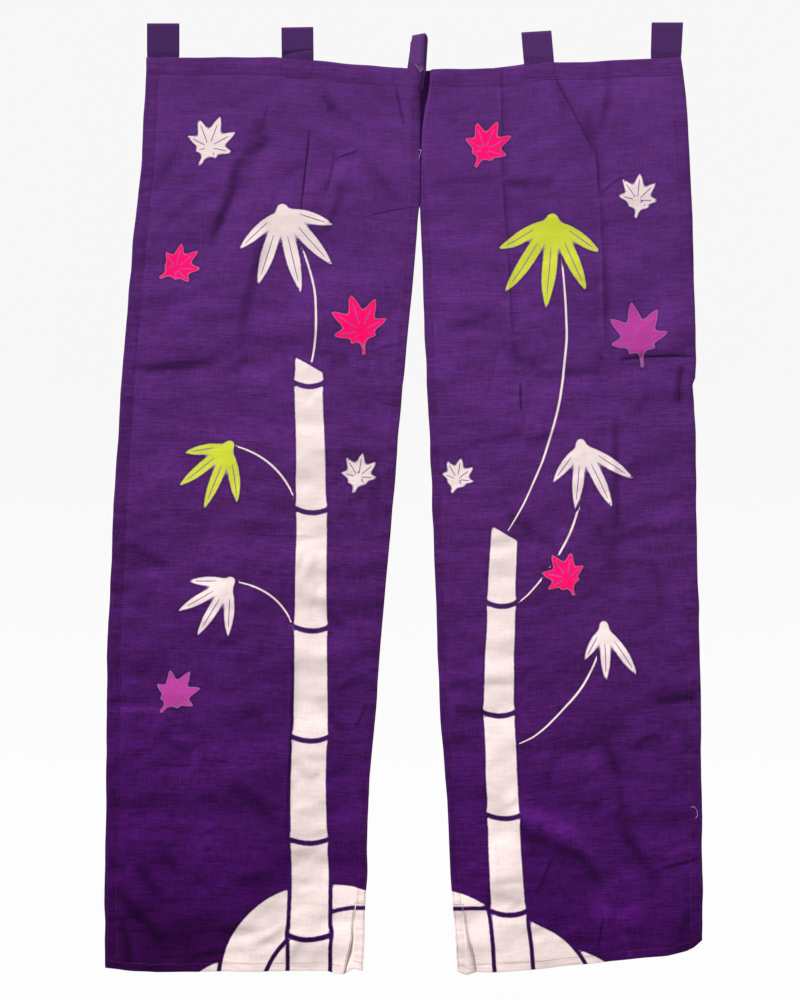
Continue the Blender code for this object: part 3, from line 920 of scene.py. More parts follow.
def joined(one, other):
    """The distance to two shapes together, with the notch between them filled a little."""
    near = np.clip(0.5 + 0.5 * (other - one) / JOIN, 0, 1)
    return other + (one - other) * near - JOIN * near * (1 - near)


def bar(along, aside, length, width):
    """The distance to a straight bar with round ends."""
    return np.hypot(along - np.clip(along, 0, length), aside) - width / 2


print("a leaf 100 mm long and 20 wide, at its middle:", lens(50, 0, 100, 20), "mm")

# %% Stems and snow
Culm = namedtuple("Culm", "u v angle length foot tip first_joint bow")
CULMS = rows(
    Culm,
    (-84, 1450, 93.9, 980, 60, 42, 84, 12),
    (90, 1450, 88.3, 723, 54, 40, 128, -12),
)
JOINT_GAP = 9.0  # dark ground between two lengths of a stem
JOINT_STEP = (150, 1.07)  # the first length between joints, and how each one grows
JOINT_SAG = 5.0  # how far a joint bows down in the middle of the stem
JOINT_FLARE = (0.08, 10.0)  # how much wider the stem is there, and over what length
CUT_SLANT = 0.55  # of the stem's upper end


def culm_distance(culm, u, v):
    """The distance to a stem of bamboo, parted at its joints and cut on the slant."""
    along, aside = turned(u, v, culm.u, culm.v, culm.angle)
    part = along / culm.length
    aside = aside - culm.bow * 4 * part * (1 - part)
    half = between(culm.foot, culm.tip, part) / 2
    joint, step = culm.first_joint, JOINT_STEP[0]
    to_joint, flare = FAR, 0
    while joint < culm.length:
        off = along - joint - JOINT_SAG * (aside / half) ** 2
        to_joint = np.minimum(to_joint, abs(off))
        flare = flare + JOINT_FLARE[0] * np.exp(-((off / JOINT_FLARE[1]) ** 2))
        joint, step = joint + step, step * JOINT_STEP[1]
    ends = along + CUT_SLANT * aside - culm.length
    sides = abs(aside) - half * (1 + flare)
    return np.maximum(np.maximum(sides, JOINT_GAP / 2 - to_joint), ends)


# Drifts of snow at the foot, from the nearest to the one that lies behind all others.
Drift = namedtuple("Drift", "start end v depth")
DRIFTS = rows(
    Drift,
    (10, 44, 1484, 340),
    (-62, -36, 1440, 320),
    (150, 162, 1500, 230),
    (-196, -176, 1510, 200),
)

print("stems and drifts:", len(CULMS), len(DRIFTS))

# %% Leaves and twigs
# Fans of bamboo leaves: each leaf turns from the fan's angle and has its share of the size.
Fan = namedtuple("Fan", "u v angle size colour leaves")
LEAF_SPREAD = ((-62, 0.66), (-31, 0.93), (0, 1.0), (30, 0.88), (60, 0.62))
LEAF_WIDTH = 0.17  # of the longest leaf, as a share of the fan's size
LEAF_START = 0.05  # where the leaves of a fan begin, as a share of its size
KNOT = 0.065  # the radius of the knot that they grow from, also as a share
FANS = rows(
    Fan,
    (-214, 236, -72, 124, "pale", 5),
    (-262, 606, -108, 98, "lime", 4),
    (-242, 818, -118, 92, "pale", 4),
    (206, 246, -96, 130, "lime", 5),
    (236, 596, -66, 104, "pale", 4),
    (262, 880, -60, 88, "pale", 3),
)

# Maple leaves, each with seven lobes around its middle.
Maple = namedtuple("Maple", "u v angle size colour")
LOBES = ((-126, 0.42), (-83, 0.74), (-41, 0.93), (0, 1.0), (41, 0.93), (83, 0.74), (126, 0.42))
LOBE_WIDTH = 0.34  # as a share of the lobe's length
LOBE_ROOT = 0.28  # how far a lobe starts behind the leaf's middle, also as a share
STALK = (0.62, 3.8)  # its length, as a share of the leaf's size, and its width
STALK_TURN = 172  # degrees from the middle lobe
MAPLES = rows(
    Maple,
    (-330, 140, 70, 50, "pale"),
    (-74, 412, 112, 58, "crimson"),
    (-372, 330, 40, 42, "crimson"),
    (-58, 640, 84, 38, "pale"),
    (-318, 1000, 60, 46, "orchid"),
    (112, 128, 65, 48, "crimson"),
    (336, 440, 100, 62, "orchid"),
    (344, 220, 80, 42, "pale"),
    (206, 806, 120, 44, "crimson"),
    (40, 640, 75, 34, "pale"),
)

# Thin bowed twigs, in two sets whose lines don't meet within a set.
Twig = namedtuple("Twig", "u0 v0 u1 v1 bow width")
TWIGS = {
    "twig_a": rows(
        Twig,
        (-154, 506, -214, 236, -34, 3.4),
        (-130, 900, -242, 818, -24, 3.0),
        (112, 730, 206, 246, -54, 3.4),
        (108, 1058, 262, 880, -34, 3.0),
    ),
    "twig_b": rows(
        Twig,
        (-146, 700, -262, 606, -22, 3.2),
        (118, 842, 236, 596, -40, 3.2),
    ),
}
print("fans and maple leaves:", len(FANS), len(MAPLES))

# %% [markdown]
# The thin lines, twigs and the ribs of leaves, are narrower than the grid. For them a vertex
# stores which side of the line it is on, in widths of the line, so the line falls where the
# value crosses zero. Between two neighbouring ribs both values have the same sign, which
# needs every second rib turned round, or a false line would show halfway between them.

# %% Thin lines of the print
RIB_WIDTH = 1.5
FAN_RIB = (0.27, 0.88)  # where a rib starts and ends, as shares of its leaf
MAPLE_RIB = (0.12, 0.82)
THINNEST = 0.01  # how thin a line gets before it ends


def line_value(aside, along, width):
    """Which side of a tapered line a place is on, in half widths; FAR beyond its ends."""
    taper = np.sqrt(np.maximum(fade_ends(along, CREASE_END), THINNEST**2))
    grown = aside / (width / 2 * taper) * line_growth(aside)
    return np.where((along > 0) & (along < 1), grown, np.sign(aside) * FAR**2)


def add_leaf(fields, ribs, colour, leaf, aside, along, span):
    """Adds one leaf's outline, and its rib on the cloth that lies deepest inside it."""
    rib = line_value(aside, (along - span[0]) / (span[1] - span[0]), RIB_WIDTH)
    closest = leaf < ribs["distance"]
    ribs["value"] = np.where(closest, rib * ribs["sign"], ribs["value"])
    ribs["distance"] = np.minimum(ribs["distance"], leaf)
    ribs["sign"] = -ribs["sign"]
    fields[colour] = joined(fields[colour], leaf)


print("a rib's value 1 mm from its middle:", round(float(line_value(1.0, 0.5, RIB_WIDTH)), 2))

# %% Distances for every vertex
COLOURS = ("pale", "crimson", "orchid", "lime")
TWIG_CLEAR = 3.2  # a twig ends this far from a motif
TWIG_POINT = 2.5  # and narrows to a point over this length
GAP_BETWEEN = 7.5  # dark ground left between a motif and what lies behind it


def print_fields(u, v):
    """The distance to each printed colour, and the line values, at places on the cloth."""
    fields = {colour: np.full(u.shape, FAR) for colour in COLOURS}
    ribs = {"value": np.full(u.shape, FAR), "distance": np.full(u.shape, FAR), "sign": 1}
    for fan in FANS:
        knot = np.hypot(u - fan.u, v - fan.v) - fan.size * KNOT
        fields[fan.colour] = joined(fields[fan.colour], knot)
        for turn, share in LEAF_SPREAD[: fan.leaves]:
            length = fan.size * share
            along, aside = turned(u, v, fan.u, fan.v, fan.angle + turn)
            along = along - fan.size * LEAF_START
            leaf = lens(along, aside, length, fan.size * LEAF_WIDTH * math.sqrt(share))
            add_leaf(fields, ribs, fan.colour, leaf, aside, along / length, FAN_RIB)
    for maple in MAPLES:
        for turn, share in LOBES:
            length = maple.size * share
            root = length * LOBE_ROOT
            along, aside = turned(u, v, maple.u, maple.v, maple.angle + turn)
            lobe = lens(along + root, aside, length + root, length * LOBE_WIDTH)
            add_leaf(fields, ribs, maple.colour, lobe, aside, along / length, MAPLE_RIB)
        along, aside = turned(u, v, maple.u, maple.v, maple.angle + STALK_TURN)
        stalk = bar(along, aside, maple.size * STALK[0], STALK[1])
        fields[maple.colour] = joined(fields[maple.colour], stalk)
    front = np.min(np.array([fields[colour] for colour in COLOURS]), axis=0)
    stems = np.min(np.array([culm_distance(culm, u, v) for culm in CULMS]), axis=0)
    stems = np.maximum(stems, GAP_BETWEEN - front)
    front = np.minimum(front, stems)
    fields["pale"] = np.minimum(fields["pale"], stems)
    for drift in DRIFTS:
        snow = bar(u - drift.start, v - drift.v, drift.end - drift.start, drift.depth)
        snow = np.maximum(snow, GAP_BETWEEN - front)
        front = np.minimum(front, snow)
        fields["pale"] = np.minimum(fields["pale"], snow)
    fields["rib"] = ribs["value"]
    for name, twigs in TWIGS.items():
        values = []
        for twig in twigs:
            along, aside = beside(twig, u, v)
            values.append(line_value(aside, along, twig.width))
        narrowed = np.clip((front - TWIG_CLEAR) / TWIG_POINT, THINNEST, 1)
        fields[name] = nearest(values)[0] / narrowed
    return fields


sample = print_fields(np.array([-134.0]), np.array([620.0]))
print("pale at the middle of the left stem:", round(float(sample["pale"][0]), 1), "mm")

# %% [markdown]
# ## Slub cotton
#
# Slub cotton is a plain weave of uneven yarn. The weft shows as fine level streaks with
# thicker slubs here and there, and the warp as a faint upright grain. Thread by thread it
# would be 0.4 mm, finer than a pixel, so the grain is drawn at the size at which the eye
# sees its clumps, 2 to 4 mm. The dye is lighter at the top and deeper towards the hem, most
# of all at the left. A printed edge keeps a thin pale line where the resist paste stopped,
# and the dye pools darker beyond it. Dull cotton has a high roughness, a low specular level
# and a little sheen from its fuzz.

# %% Grains and colours of the cotton
Grain = namedtuple("Grain", "across down detail")
GRAINS = {
    "weft": Grain(15, 2.2, 2),
    "slub": Grain(62, 3.6, 2),
    "warp": Grain(2.2, 30, 2),
    "patch": Grain(48, 20, 3),
    "cloud": Grain(170, 80, 3),
    "wobble": Grain(7, 7, 1),
    "pucker": Grain(60, 7.5, 1),
}
DYES = (
    (0.0, "#502767"), (0.28, "#4e2465"), (0.5, "#471e5b"),
    (0.78, "#3a104f"), (0.92, "#340948"), (1.0, "#290437"),
)
NOISE_RANGE = (0.3, 0.7)  # between which smooth noise mostly lies
GRAIN_SHIFT = 7.3  # from one grain to the next, so that they don't coincide
REDDER, BLUER = (1.03, 0.99, 0.97, 1), (0.97, 1.01, 1.03, 1)  # the dye is not the same all over
HUE_RANGE = (0.35, 0.65)  # of the noise, between the redder dye and the bluer
DYE_LEAN = 0.16  # how much deeper the dye is to the left, as a share of the way down
GRAIN_SHARE = 0.7  # of each other grain in the yarn's unevenness, beside the weft's
STREAK_RANGE = (1.175, 1.925)  # between which the grains mostly add up
YARN_SHADE = 0.42  # how much paler or darker a thread is at most
YARN_CONTRAST = (0.55, 1.3)  # how strongly that shows at the heading and at the foot
CLOUD_SHADE = (0.88, 1.12)  # of the large soft patches
DENSER = 0.94  # the dye on the turned hems, below the heading
BELOW_HEADING = (0.025, 0.05)  # where that starts, as shares of the way down
PRINT_COLOURS = {"pale": "#d8c7c5", "crimson": "#f00f64", "orchid": "#a53587", "lime": "#bbc136"}
RESIST_EDGE = {"pale": "#cdb4dc", "crimson": "#f08fb8", "orchid": "#d49ad0", "lime": "#e9ecae"}
CUT_SOFTNESS = 0.45  # mm over which a printed edge fades
RESIST_WIDTH = 1.5  # the pale line along it
RESIST_SOFTNESS = 1.2  # mm over which that line fades
RESIST_SHARE = 0.35  # how strongly it shows
POOL_WIDTH = 4.5  # the dye pools against the paste, and is darker there
POOLED = 0.72  # how much light the darker dye still gives back
PASTE_THIN = (0.93, 1.06)  # how much the yarn shows through the paste
YARN_RANGE = (0.62, 1.38)  # of the yarn's unevenness, which gives that
LINE_CUT = (1.3, 0.7)  # half widths at which a thin line ends and is full
LINE_DEPTH = 0.5  # of a narrow crease in the surface
FAINT = 0.35  # how much of the painted shade and highlight of the creases the paste shows
PASTE_AT_FOOT = 0.93  # how much duller the paste is at the foot
PASTE_DARKER_FROM = 0.75  # where that starts, as a share of the way down
PAINTED_CREASE_SHADE = (-1.0, 0.7)  # the palest painted highlight and the darkest painted shade of the creases
PUCKER_RANGE = (0.42, 0.56)  # of the noise, between the flat hem and a pucker
PAINTED_PUCKER_SHADE = 0.88  # painted shade in the puckers of the hems
PUCKER_RELIEF = -1.2  # how deep they are, against the yarn
YARN_RELIEF = 0.3  # mm
WOBBLE = 0.55  # mm by which a printed edge is uneven
RIB_COLOUR = linear("#7d4a93")

print("grains:", list(GRAINS))

# %% Dyed cotton
cotton, tree = new_material("slub_cotton_resist_printed")
cloth_uv = add(tree, "UVMap", uv_map="cloth")
place = add(tree, "SeparateXYZ", {0: cloth_uv})
down = place.node.outputs[1]
grain = {}
for number, (name, size) in enumerate(GRAINS.items()):
    scale = (1 / size.across / MM, 1 / size.down / MM, 1)
    shift = (number * GRAIN_SHIFT, 0, 0)
    spread = add(tree, "VectorMath", {0: cloth_uv, 1: scale, 2: shift}, operation="MULTIPLY_ADD")
    grain[name] = add(tree, "TexNoise", {"Vector": spread, "Scale": 1.0, "Detail": size.detail})

# The dye, from the heading to the hem, then the yarn's unevenness.
lean = add(tree, "Math", {0: place, 1: DYE_LEAN, 2: down}, operation="MULTIPLY_ADD")
fall = add(tree, "MapRange", {0: lean, 1: 0.0, 2: -PANEL_LENGTH * MM})
dye = add(tree, "ValToRGB", {0: fall})
ramp = dye.node.color_ramp
ramp.elements.remove(ramp.elements[1])
for number, (position, shade) in enumerate(DYES):
    stop = ramp.elements.new(position) if number else ramp.elements[0]
    stop.color = linear(shade)
streaks = grain["weft"]
for name in ("slub", "warp", "patch"):
    shared = {0: grain[name], 1: GRAIN_SHARE, 2: streaks}
    streaks = add(tree, "Math", shared, operation="MULTIPLY_ADD")
low, high = STREAK_RANGE
yarn = add(tree, "MapRange", {0: streaks, 1: low, 2: high, 3: -YARN_SHADE, 4: YARN_SHADE})
contrast = add(tree, "MapRange", {0: fall, 3: YARN_CONTRAST[0], 4: YARN_CONTRAST[1]})
yarn = add(tree, "Math", {0: yarn, 1: contrast, 2: 1.0}, operation="MULTIPLY_ADD")
(low, high), (least, most) = NOISE_RANGE, CLOUD_SHADE
cloud = add(tree, "MapRange", {0: grain["cloud"], 1: low, 2: high, 3: least, 4: most})
uneven = add(tree, "Math", {0: yarn, 1: cloud}, operation="MULTIPLY")
hue = add(tree, "MapRange", {0: grain["patch"], 1: HUE_RANGE[0], 2: HUE_RANGE[1]})
hue = add(tree, "Mix", {0: hue, 6: REDDER, 7: BLUER}, 2, data_type="RGBA")
dye = add(tree, "VectorMath", {0: dye, 1: hue}, operation="MULTIPLY")
hem = add(tree, "Attribute", {}, "Fac", attribute_name="hem")
below = add(tree, "MapRange", {0: fall, 1: BELOW_HEADING[0], 2: BELOW_HEADING[1]})
denser = add(tree, "Math", {0: hem, 1: below}, operation="MULTIPLY")
denser = add(tree, "MapRange", {0: denser, 3: 1.0, 4: DENSER})
uneven = add(tree, "Math", {0: uneven, 1: denser}, operation="MULTIPLY")
drawn_in = add(tree, "MapRange", {0: grain["pucker"], 1: PUCKER_RANGE[0], 2: PUCKER_RANGE[1]})
drawn_in = add(tree, "Math", {0: drawn_in, 1: hem}, operation="MULTIPLY")
# The puckers also get painted shade in the colour, beside their bump.
painted_pucker_shade = add(tree, "MapRange", {0: drawn_in, 3: 1.0, 4: PAINTED_PUCKER_SHADE})
print("dye:", len(tree.nodes), "nodes")

# %% Creases on the cotton
# Painted shade on the wide creases, dark lines on the narrow ones, and painted highlight on
# ridges.
creased = add(tree, "Attribute", {}, "Vector", attribute_name="crease_line")
creased = add(tree, "SeparateXYZ", {0: creased}).node.outputs
off = add(tree, "Math", {0: creased[0]}, operation="ABSOLUTE")
pressed = add(tree, "MapRange", {0: off, 3: 1.0, 4: 0.0}, interpolation_type="SMOOTHSTEP")
pressed = add(tree, "Math", {0: pressed, 1: creased[1]}, operation="MULTIPLY")
painted_crease_shade = add(tree, "Math", {0: pressed, 1: creased[2]}, operation="ADD")
low, high = PAINTED_CREASE_SHADE
painted_crease_shade = add(tree, "MapRange", {0: painted_crease_shade, 1: low, 2: high, 3: 1 - low, 4: 1 - high})
faint = add(tree, "MapRange", {0: painted_crease_shade, 2: 1 - low, 3: 1 - FAINT, 4: 1 + FAINT})
painted_crease_shade = add(tree, "Math", {0: painted_crease_shade, 1: uneven}, operation="MULTIPLY")
ground = add(tree, "VectorMath", {0: dye, "Scale": painted_crease_shade}, operation="SCALE")
print("creases:", len(tree.nodes), "nodes so far")

# %% Print on the cotton
# One colour at a time, each with its pale edge.
wobble = add(tree, "MapRange", {0: grain["wobble"], 3: -WOBBLE, 4: WOBBLE})
inks = add(tree, "Attribute", {}, "Vector", attribute_name="print_inks")
lines = add(tree, "Attribute", {}, "Vector", attribute_name="print_lines")
inks = add(tree, "SeparateXYZ", {0: inks}).node.outputs
lines = add(tree, "SeparateXYZ", {0: lines}).node.outputs
lime = add(tree, "Attribute", {}, "Fac", attribute_name="print_lime")
distances = {"pale": inks[0], "crimson": inks[1], "orchid": inks[2], "lime": lime}
(low, high), (least, most) = YARN_RANGE, PASTE_THIN
thin = add(tree, "MapRange", {0: uneven, 1: low, 2: high, 3: least, 4: most})
thin = add(tree, "Math", {0: thin, 1: faint}, operation="MULTIPLY")
# The paste is darker towards the foot.
paste_darker = add(tree, "MapRange", {0: fall, 1: PASTE_DARKER_FROM, 3: 1.0, 4: PASTE_AT_FOOT})
thin = add(tree, "Math", {0: thin, 1: paste_darker}, operation="MULTIPLY")
colour = ground
for socket in (lines[1], lines[2]):
    off = add(tree, "Math", {0: socket}, operation="ABSOLUTE")
    cut = add(tree, "MapRange", {0: off, 1: LINE_CUT[0], 2: LINE_CUT[1]})
    twig = {0: cut, 6: colour, 7: linear(PRINT_COLOURS["pale"])}
    colour = add(tree, "Mix", twig, 2, data_type="RGBA")
for ink, distance in distances.items():
    distance = add(tree, "Math", {0: distance, 1: wobble}, operation="ADD")
    pool = {0: distance, 1: POOL_WIDTH, 2: RESIST_WIDTH, 3: 1.0, 4: POOLED}
    pooled = add(tree, "MapRange", pool)
    colour = add(tree, "VectorMath", {0: colour, "Scale": pooled}, operation="SCALE")
    inside = RESIST_WIDTH - RESIST_SOFTNESS
    outer = add(tree, "MapRange", {0: distance, 1: RESIST_WIDTH, 2: inside})
    inner = add(tree, "MapRange", {0: distance, 1: CUT_SOFTNESS, 2: -CUT_SOFTNESS})
    halo = add(tree, "Math", {0: outer, 1: RESIST_SHARE}, operation="MULTIPLY")
    edge, full = linear(RESIST_EDGE[ink]), linear(PRINT_COLOURS[ink])[:3]
    halo = add(tree, "Mix", {0: halo, 6: colour, 7: edge}, 2, data_type="RGBA")
    paste = add(tree, "VectorMath", {0: full, "Scale": thin}, operation="SCALE")
    colour = add(tree, "Mix", {0: inner, 6: halo, 7: paste}, 2, data_type="RGBA")
print("print:", len(tree.nodes), "nodes so far")

# %% Ribs, sharp creases and the surface
off = add(tree, "Math", {0: lines[0]}, operation="ABSOLUTE")
cut = add(tree, "MapRange", {0: off, 1: LINE_CUT[0], 2: LINE_CUT[1]})
colour = add(tree, "Mix", {0: cut, 6: colour, 7: RIB_COLOUR}, 2, data_type="RGBA")
relief = {0: drawn_in, 1: PUCKER_RELIEF, 2: streaks}
relief = add(tree, "Math", relief, operation="MULTIPLY_ADD")
surface = add(tree, "Bump", {"Height": relief, "Strength": 0.5, "Distance": YARN_RELIEF * MM})
hollow = add(tree, "Math", {0: pressed, 1: -1.0}, operation="MULTIPLY")
surface = add(tree, "Bump", {"Height": hollow, "Distance": LINE_DEPTH * MM, "Normal": surface})
colour = add(tree, "VectorMath", {0: colour, "Scale": painted_pucker_shade}, operation="SCALE")
dull = add(
    tree,
    "BsdfPrincipled",
    {
        "Base Color": colour,
        "Roughness": 0.88,
        "Specular IOR Level": 0.03,
        "Sheen Weight": 0.03,
        "Sheen Roughness": 0.5,
        "Sheen Tint": linear("#b59ac4"),
        "Normal": surface,
    },
)
add(tree, "OutputMaterial", {"Surface": dull})
print("cotton:", len(tree.nodes), "nodes")

# %% [markdown]
# ## Panels
#
# One grid makes each panel. Its points are moved all at once with numpy, from the tables
# above, and the faces of the vent are taken out. The cloth's own coordinates go into a UV map
# in metres, so the weave and the print follow the cloth and not the room.

# %% Places in a grid
def grid_steps(mesh, across, down):
    """Which column and row of a unit grid each vertex is."""
    places = np.empty(len(mesh.vertices) * 3, np.float32)
    mesh.vertices.foreach_get("co", places)
    places = places.reshape(-1, 3)
    column = np.rint((places[:, 0] + 0.5) * across).astype(int)
    row = np.rint((0.5 - places[:, 1]) * down).astype(int)
    return column, row


def store(mesh, name, kind, values):
    """Keeps a value or a vector for each vertex."""
    attribute = mesh.attributes.new(name, kind, "POINT")
    field = "vector" if kind == "FLOAT_VECTOR" else "value"
    attribute.data.foreach_set(field, np.asarray(values, np.float32).ravel())


print("places in a panel's grid:", COLUMNS * len(row_fractions()))


def make_panel(side):
    """One panel of cloth: its shape, hems, coordinates and print."""
    fractions = row_fractions()
    down = len(fractions) - 1
    across = COLUMNS - 1
    shares = column_places(side, np.array([float(HEM_DROP)]))[:, 0] / width_at(side, HEM_DROP)
    tops = read(HEADING[side], "drop", shares)
    bottoms = read(HEM[side], "drop", shares)
    drops = tops[:, None] + fractions[None, :] * (bottoms - tops)[:, None]
    slit_places = np.array([column_places(side, drops[n])[n] for n in range(COLUMNS)])

    bm = bmesh.new()
    bmesh.ops.create_grid(bm, x_segments=across, y_segments=down, size=0.5)
    vent_column = len(SLIT_COLUMNS)
    open_faces = []
    for face in bm.faces:
        middle = face.calc_center_median()
        step = int((middle.x + 0.5) * across)
        column = across - 1 - step if side == "left" else step
        row = int((0.5 - middle.y) * down)
        if column == vent_column and drops[column, row] > VENT_TOP:
            open_faces.append(face)
    bmesh.ops.delete(bm, geom=open_faces, context="FACES")
    panel = new_object("cloth_" + side, bm, [cotton])
    mesh = panel.data

    column, row = grid_steps(mesh, across, down)
    if side == "left":
        column = across - column
    drop, from_slit = drops[column, row], slit_places[column, row]
    below = drop - tops[column]
    points = face_point(side, from_slit, drop)
    mesh.vertices.foreach_set("co", points.astype(np.float32).ravel())
    mesh.update()

    u = OUTWARDS[side] * from_slit
    loops = np.empty(len(mesh.loops), np.int32)
    mesh.loops.foreach_get("vertex_index", loops)
    layer = mesh.uv_layers.new(name="cloth")
    flat = np.stack([u, -below], 1)[loops] * MM
    layer.data.foreach_set("uv", flat.astype(np.float32).ravel())
    fields = print_fields(u, below)
    for name, parts in (("print_inks", COLOURS[:3]), ("print_lines", ("rib", *TWIGS))):
        store(mesh, name, "FLOAT_VECTOR", np.stack([fields[part] for part in parts], 1))
    store(mesh, "print_lime", "FLOAT", fields["lime"])
    store(mesh, "crease_line", "FLOAT_VECTOR", crease_shade(side, points[:, 0] / MM, drop))
    hem = hem_weight(from_edges(side, from_slit, drop))
    store(mesh, "hem", "FLOAT", hem)
    group = panel.vertex_groups.new(name="hem")
    for level in np.unique(np.round(hem, 2)):
        group.add(np.flatnonzero(np.round(hem, 2) == level).tolist(), float(level), "REPLACE")
    solidify = panel.modifiers.new("cloth and its turned hems", "SOLIDIFY")
    solidify.thickness = HEM_CLOTH * MM
    solidify.thickness_vertex_group = CLOTH / HEM_CLOTH
    solidify.vertex_group = "hem"
    solidify.offset = -1
    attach(panel, "root")
    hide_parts("panel_" + side)
    pale = round((fields["pale"] < 0).mean(), 3)
    print(panel.name, len(mesh.polygons), "faces, pale share", pale)


for side in OUTWARDS:
    make_panel(side)

# %% [markdown]
# ## Ribbed tape
#
# The loops are a woven tape with ribs along its length. The ribs are in the mesh: the grid
# has four columns for each rib, and they rise and fall across the tape. The strip is bent up
# its front leg, over the top and down the back, and both ends go behind the heading. The
# middle loop is caught in the pleat, so it is folded along its length and its top slopes.

# %% Sizes of the loops
Loop = namedtuple("Loop", "name base_left base_right top_left top_right heading top")
LOOPS = rows(
    Loop,
    ("tab_1", -426.5, -376.5, -426.5, -376.5, 55, 1.5),
    ("tab_2", -216, -166.5, -216.5, -167, 56.5, 7.5),
    ("tab_3", -20, 10, -12, 13, 73, 18),
    ("tab_4", 162.5, 209.5, 158.5, 205, 62.5, 14),
    ("tab_5", 361, 408, 362.5, 411, 55, 0),
)
CREASED_LOOP = "tab_3"
LEFT_LOOPS = ("tab_1", "tab_2", "tab_3")  # those that are sewn to the left panel
# How much paler each loop's dye is: wear on most, and on the middle loop a painted highlight, as
# if it faced the lamp.
WEAR_AND_PAINTED_LIGHT = {"tab_1": 0.0, "tab_2": 0.12, "tab_3": 1.0, "tab_4": 0.35, "tab_5": 0.2}
TAPE = 1.2  # its thickness
TONGUE = 32  # the sewn end of a loop, below the heading's top edge
TONGUE_STEPS = 4
LOOP_CLEAR = 7  # between a loop's two legs
SEWN_GAP = 0.3  # between its sewn ends
SPREAD_HEIGHT = 8  # over which the legs part above the heading
LEG_STEPS = 36
BEND_STEPS = 12
CREASE_RADIUS = (2.2, 6.0)  # of the middle loop's turn, at its foot and above it
TURNED_BACK = 17  # the width of its part behind that turn
LOOP_SET_BACK = 2.4  # how far the loops lie behind the plane of the heading
RIBS = 13
STEPS_PER_RIB = 4
RIB_RISE = 0.12  # how far a rib stands up
TapeCrease = namedtuple("TapeCrease", "left right spread depth lost")  # lost towards the right
TAPE_CREASES = {"tab_2": TapeCrease(49, 44.5, 1.7, 2.6, 0.6)}
# How much lower the top of a loop is than its highest point, by the share of its width.
Slope = namedtuple("Slope", "share drop")
SLOPES = {
    "tab_3": rows(Slope, (0, 2.4), (0.33, -0.4), (0.43, -1.9), (0.5, 6), (0.6, 9), (1, 10)),
    "tab_4": rows(Slope, (0, 1.6), (1, -1.4)),
    "tab_2": rows(Slope, (0, 0.4), (1, -0.4)),
}
print("loops:", [loop.name for loop in LOOPS])

# %% Tape
PICKS = (26, 110, 1)  # uneven patches across the tape and along it, each about 2 mm
PICK_SHADE = (0.8, 1.2)  # of the darkest patch and the palest
PAINTED_RIB_SHADING = (0.84, 1.1)  # painted shade in a groove and painted highlight on a rib
PICK_RELIEF = 0.25  # mm

tape, tree = new_material("ribbed_cotton_tape")
tape_uv = add(tree, "UVMap", uv_map="tape")
side_step = add(tree, "SeparateXYZ", {0: tape_uv})
# Painted shade in the grooves between the ribs and a painted highlight on them.
turn = add(tree, "Math", {0: side_step, 1: 2 * math.pi * RIBS}, operation="MULTIPLY")
groove = add(tree, "Math", {0: turn}, operation="COSINE")
low, high = PAINTED_RIB_SHADING
groove = add(tree, "MapRange", {0: groove, 1: -1.0, 2: 1.0, 3: low, 4: high})
spread = add(tree, "VectorMath", {0: tape_uv, 1: PICKS}, operation="MULTIPLY")
pick = add(tree, "TexNoise", {"Vector": spread, "Scale": 1.0, "Detail": 3.0})
(low, high), (least, most) = NOISE_RANGE, PICK_SHADE
uneven = add(tree, "MapRange", {0: pick, 1: low, 2: high, 3: least, 4: most})
uneven = add(tree, "Math", {0: uneven, 1: groove}, operation="MULTIPLY")
# Paler dye: wear, and a painted highlight on the middle loop.
wear_and_light = add(tree, "Attribute", {}, "Fac", attribute_name="faded")
dyes = linear("#3e2253"), linear("#57336e")
dye = add(tree, "Mix", {0: wear_and_light, 6: dyes[0], 7: dyes[1]}, 2, data_type="RGBA")
dye = add(tree, "VectorMath", {0: dye, "Scale": uneven}, operation="SCALE")
surface = add(tree, "Bump", {"Height": pick, "Strength": 0.4, "Distance": PICK_RELIEF * MM})
dull = add(
    tree,
    "BsdfPrincipled",
    {
        "Base Color": dye,
        "Roughness": 0.9,
        "Specular IOR Level": 0.06,
        "Sheen Weight": 0.03,
        "Sheen Tint": linear("#a890b8"),
        "Normal": surface,
    },
)
add(tree, "OutputMaterial", {"Surface": dull})
print("tape:", len(tree.nodes), "nodes")

# %% The way of the tape
def loop_path(loop):
    """The tape's way up its front leg, over the top and down the back leg, as pairs of an
    offset from the loop's middle, to the front if below zero, and a drop."""
    sewn = (TAPE + SEWN_GAP) / 2
    radius = (LOOP_CLEAR + TAPE) / 2
    bend = loop.top + TAPE / 2 + radius
    foot = loop.heading - SPREAD_HEIGHT
    steps = range(TONGUE_STEPS, -1, -1)
    tongue = [(-sewn, loop.heading + TONGUE * n / TONGUE_STEPS) for n in steps]
    leg = [(-radius, foot + (bend - foot) * n / LEG_STEPS) for n in range(LEG_STEPS + 1)]
    angles = [math.pi * n / BEND_STEPS for n in range(1, BEND_STEPS)]
    over = [(-radius * math.cos(a), bend - radius * math.sin(a)) for a in angles]
    front = tongue + leg
    return front + over + [(-offset, drop) for offset, drop in reversed(front)]


def loop_edges(loop, height):
    """Where a loop's two edges are, at a share of its height."""
    left = between(loop.base_left, loop.top_left, height)
    return left, between(loop.base_right, loop.top_right, height)


def plain_place(loop, share, height):
    """A place on a flat loop's middle plane, and the way to its back."""
    left, right = loop_edges(loop, height)
    return Vector((left + share * (right - left), LOOP_SET_BACK)), Vector((0, 1))


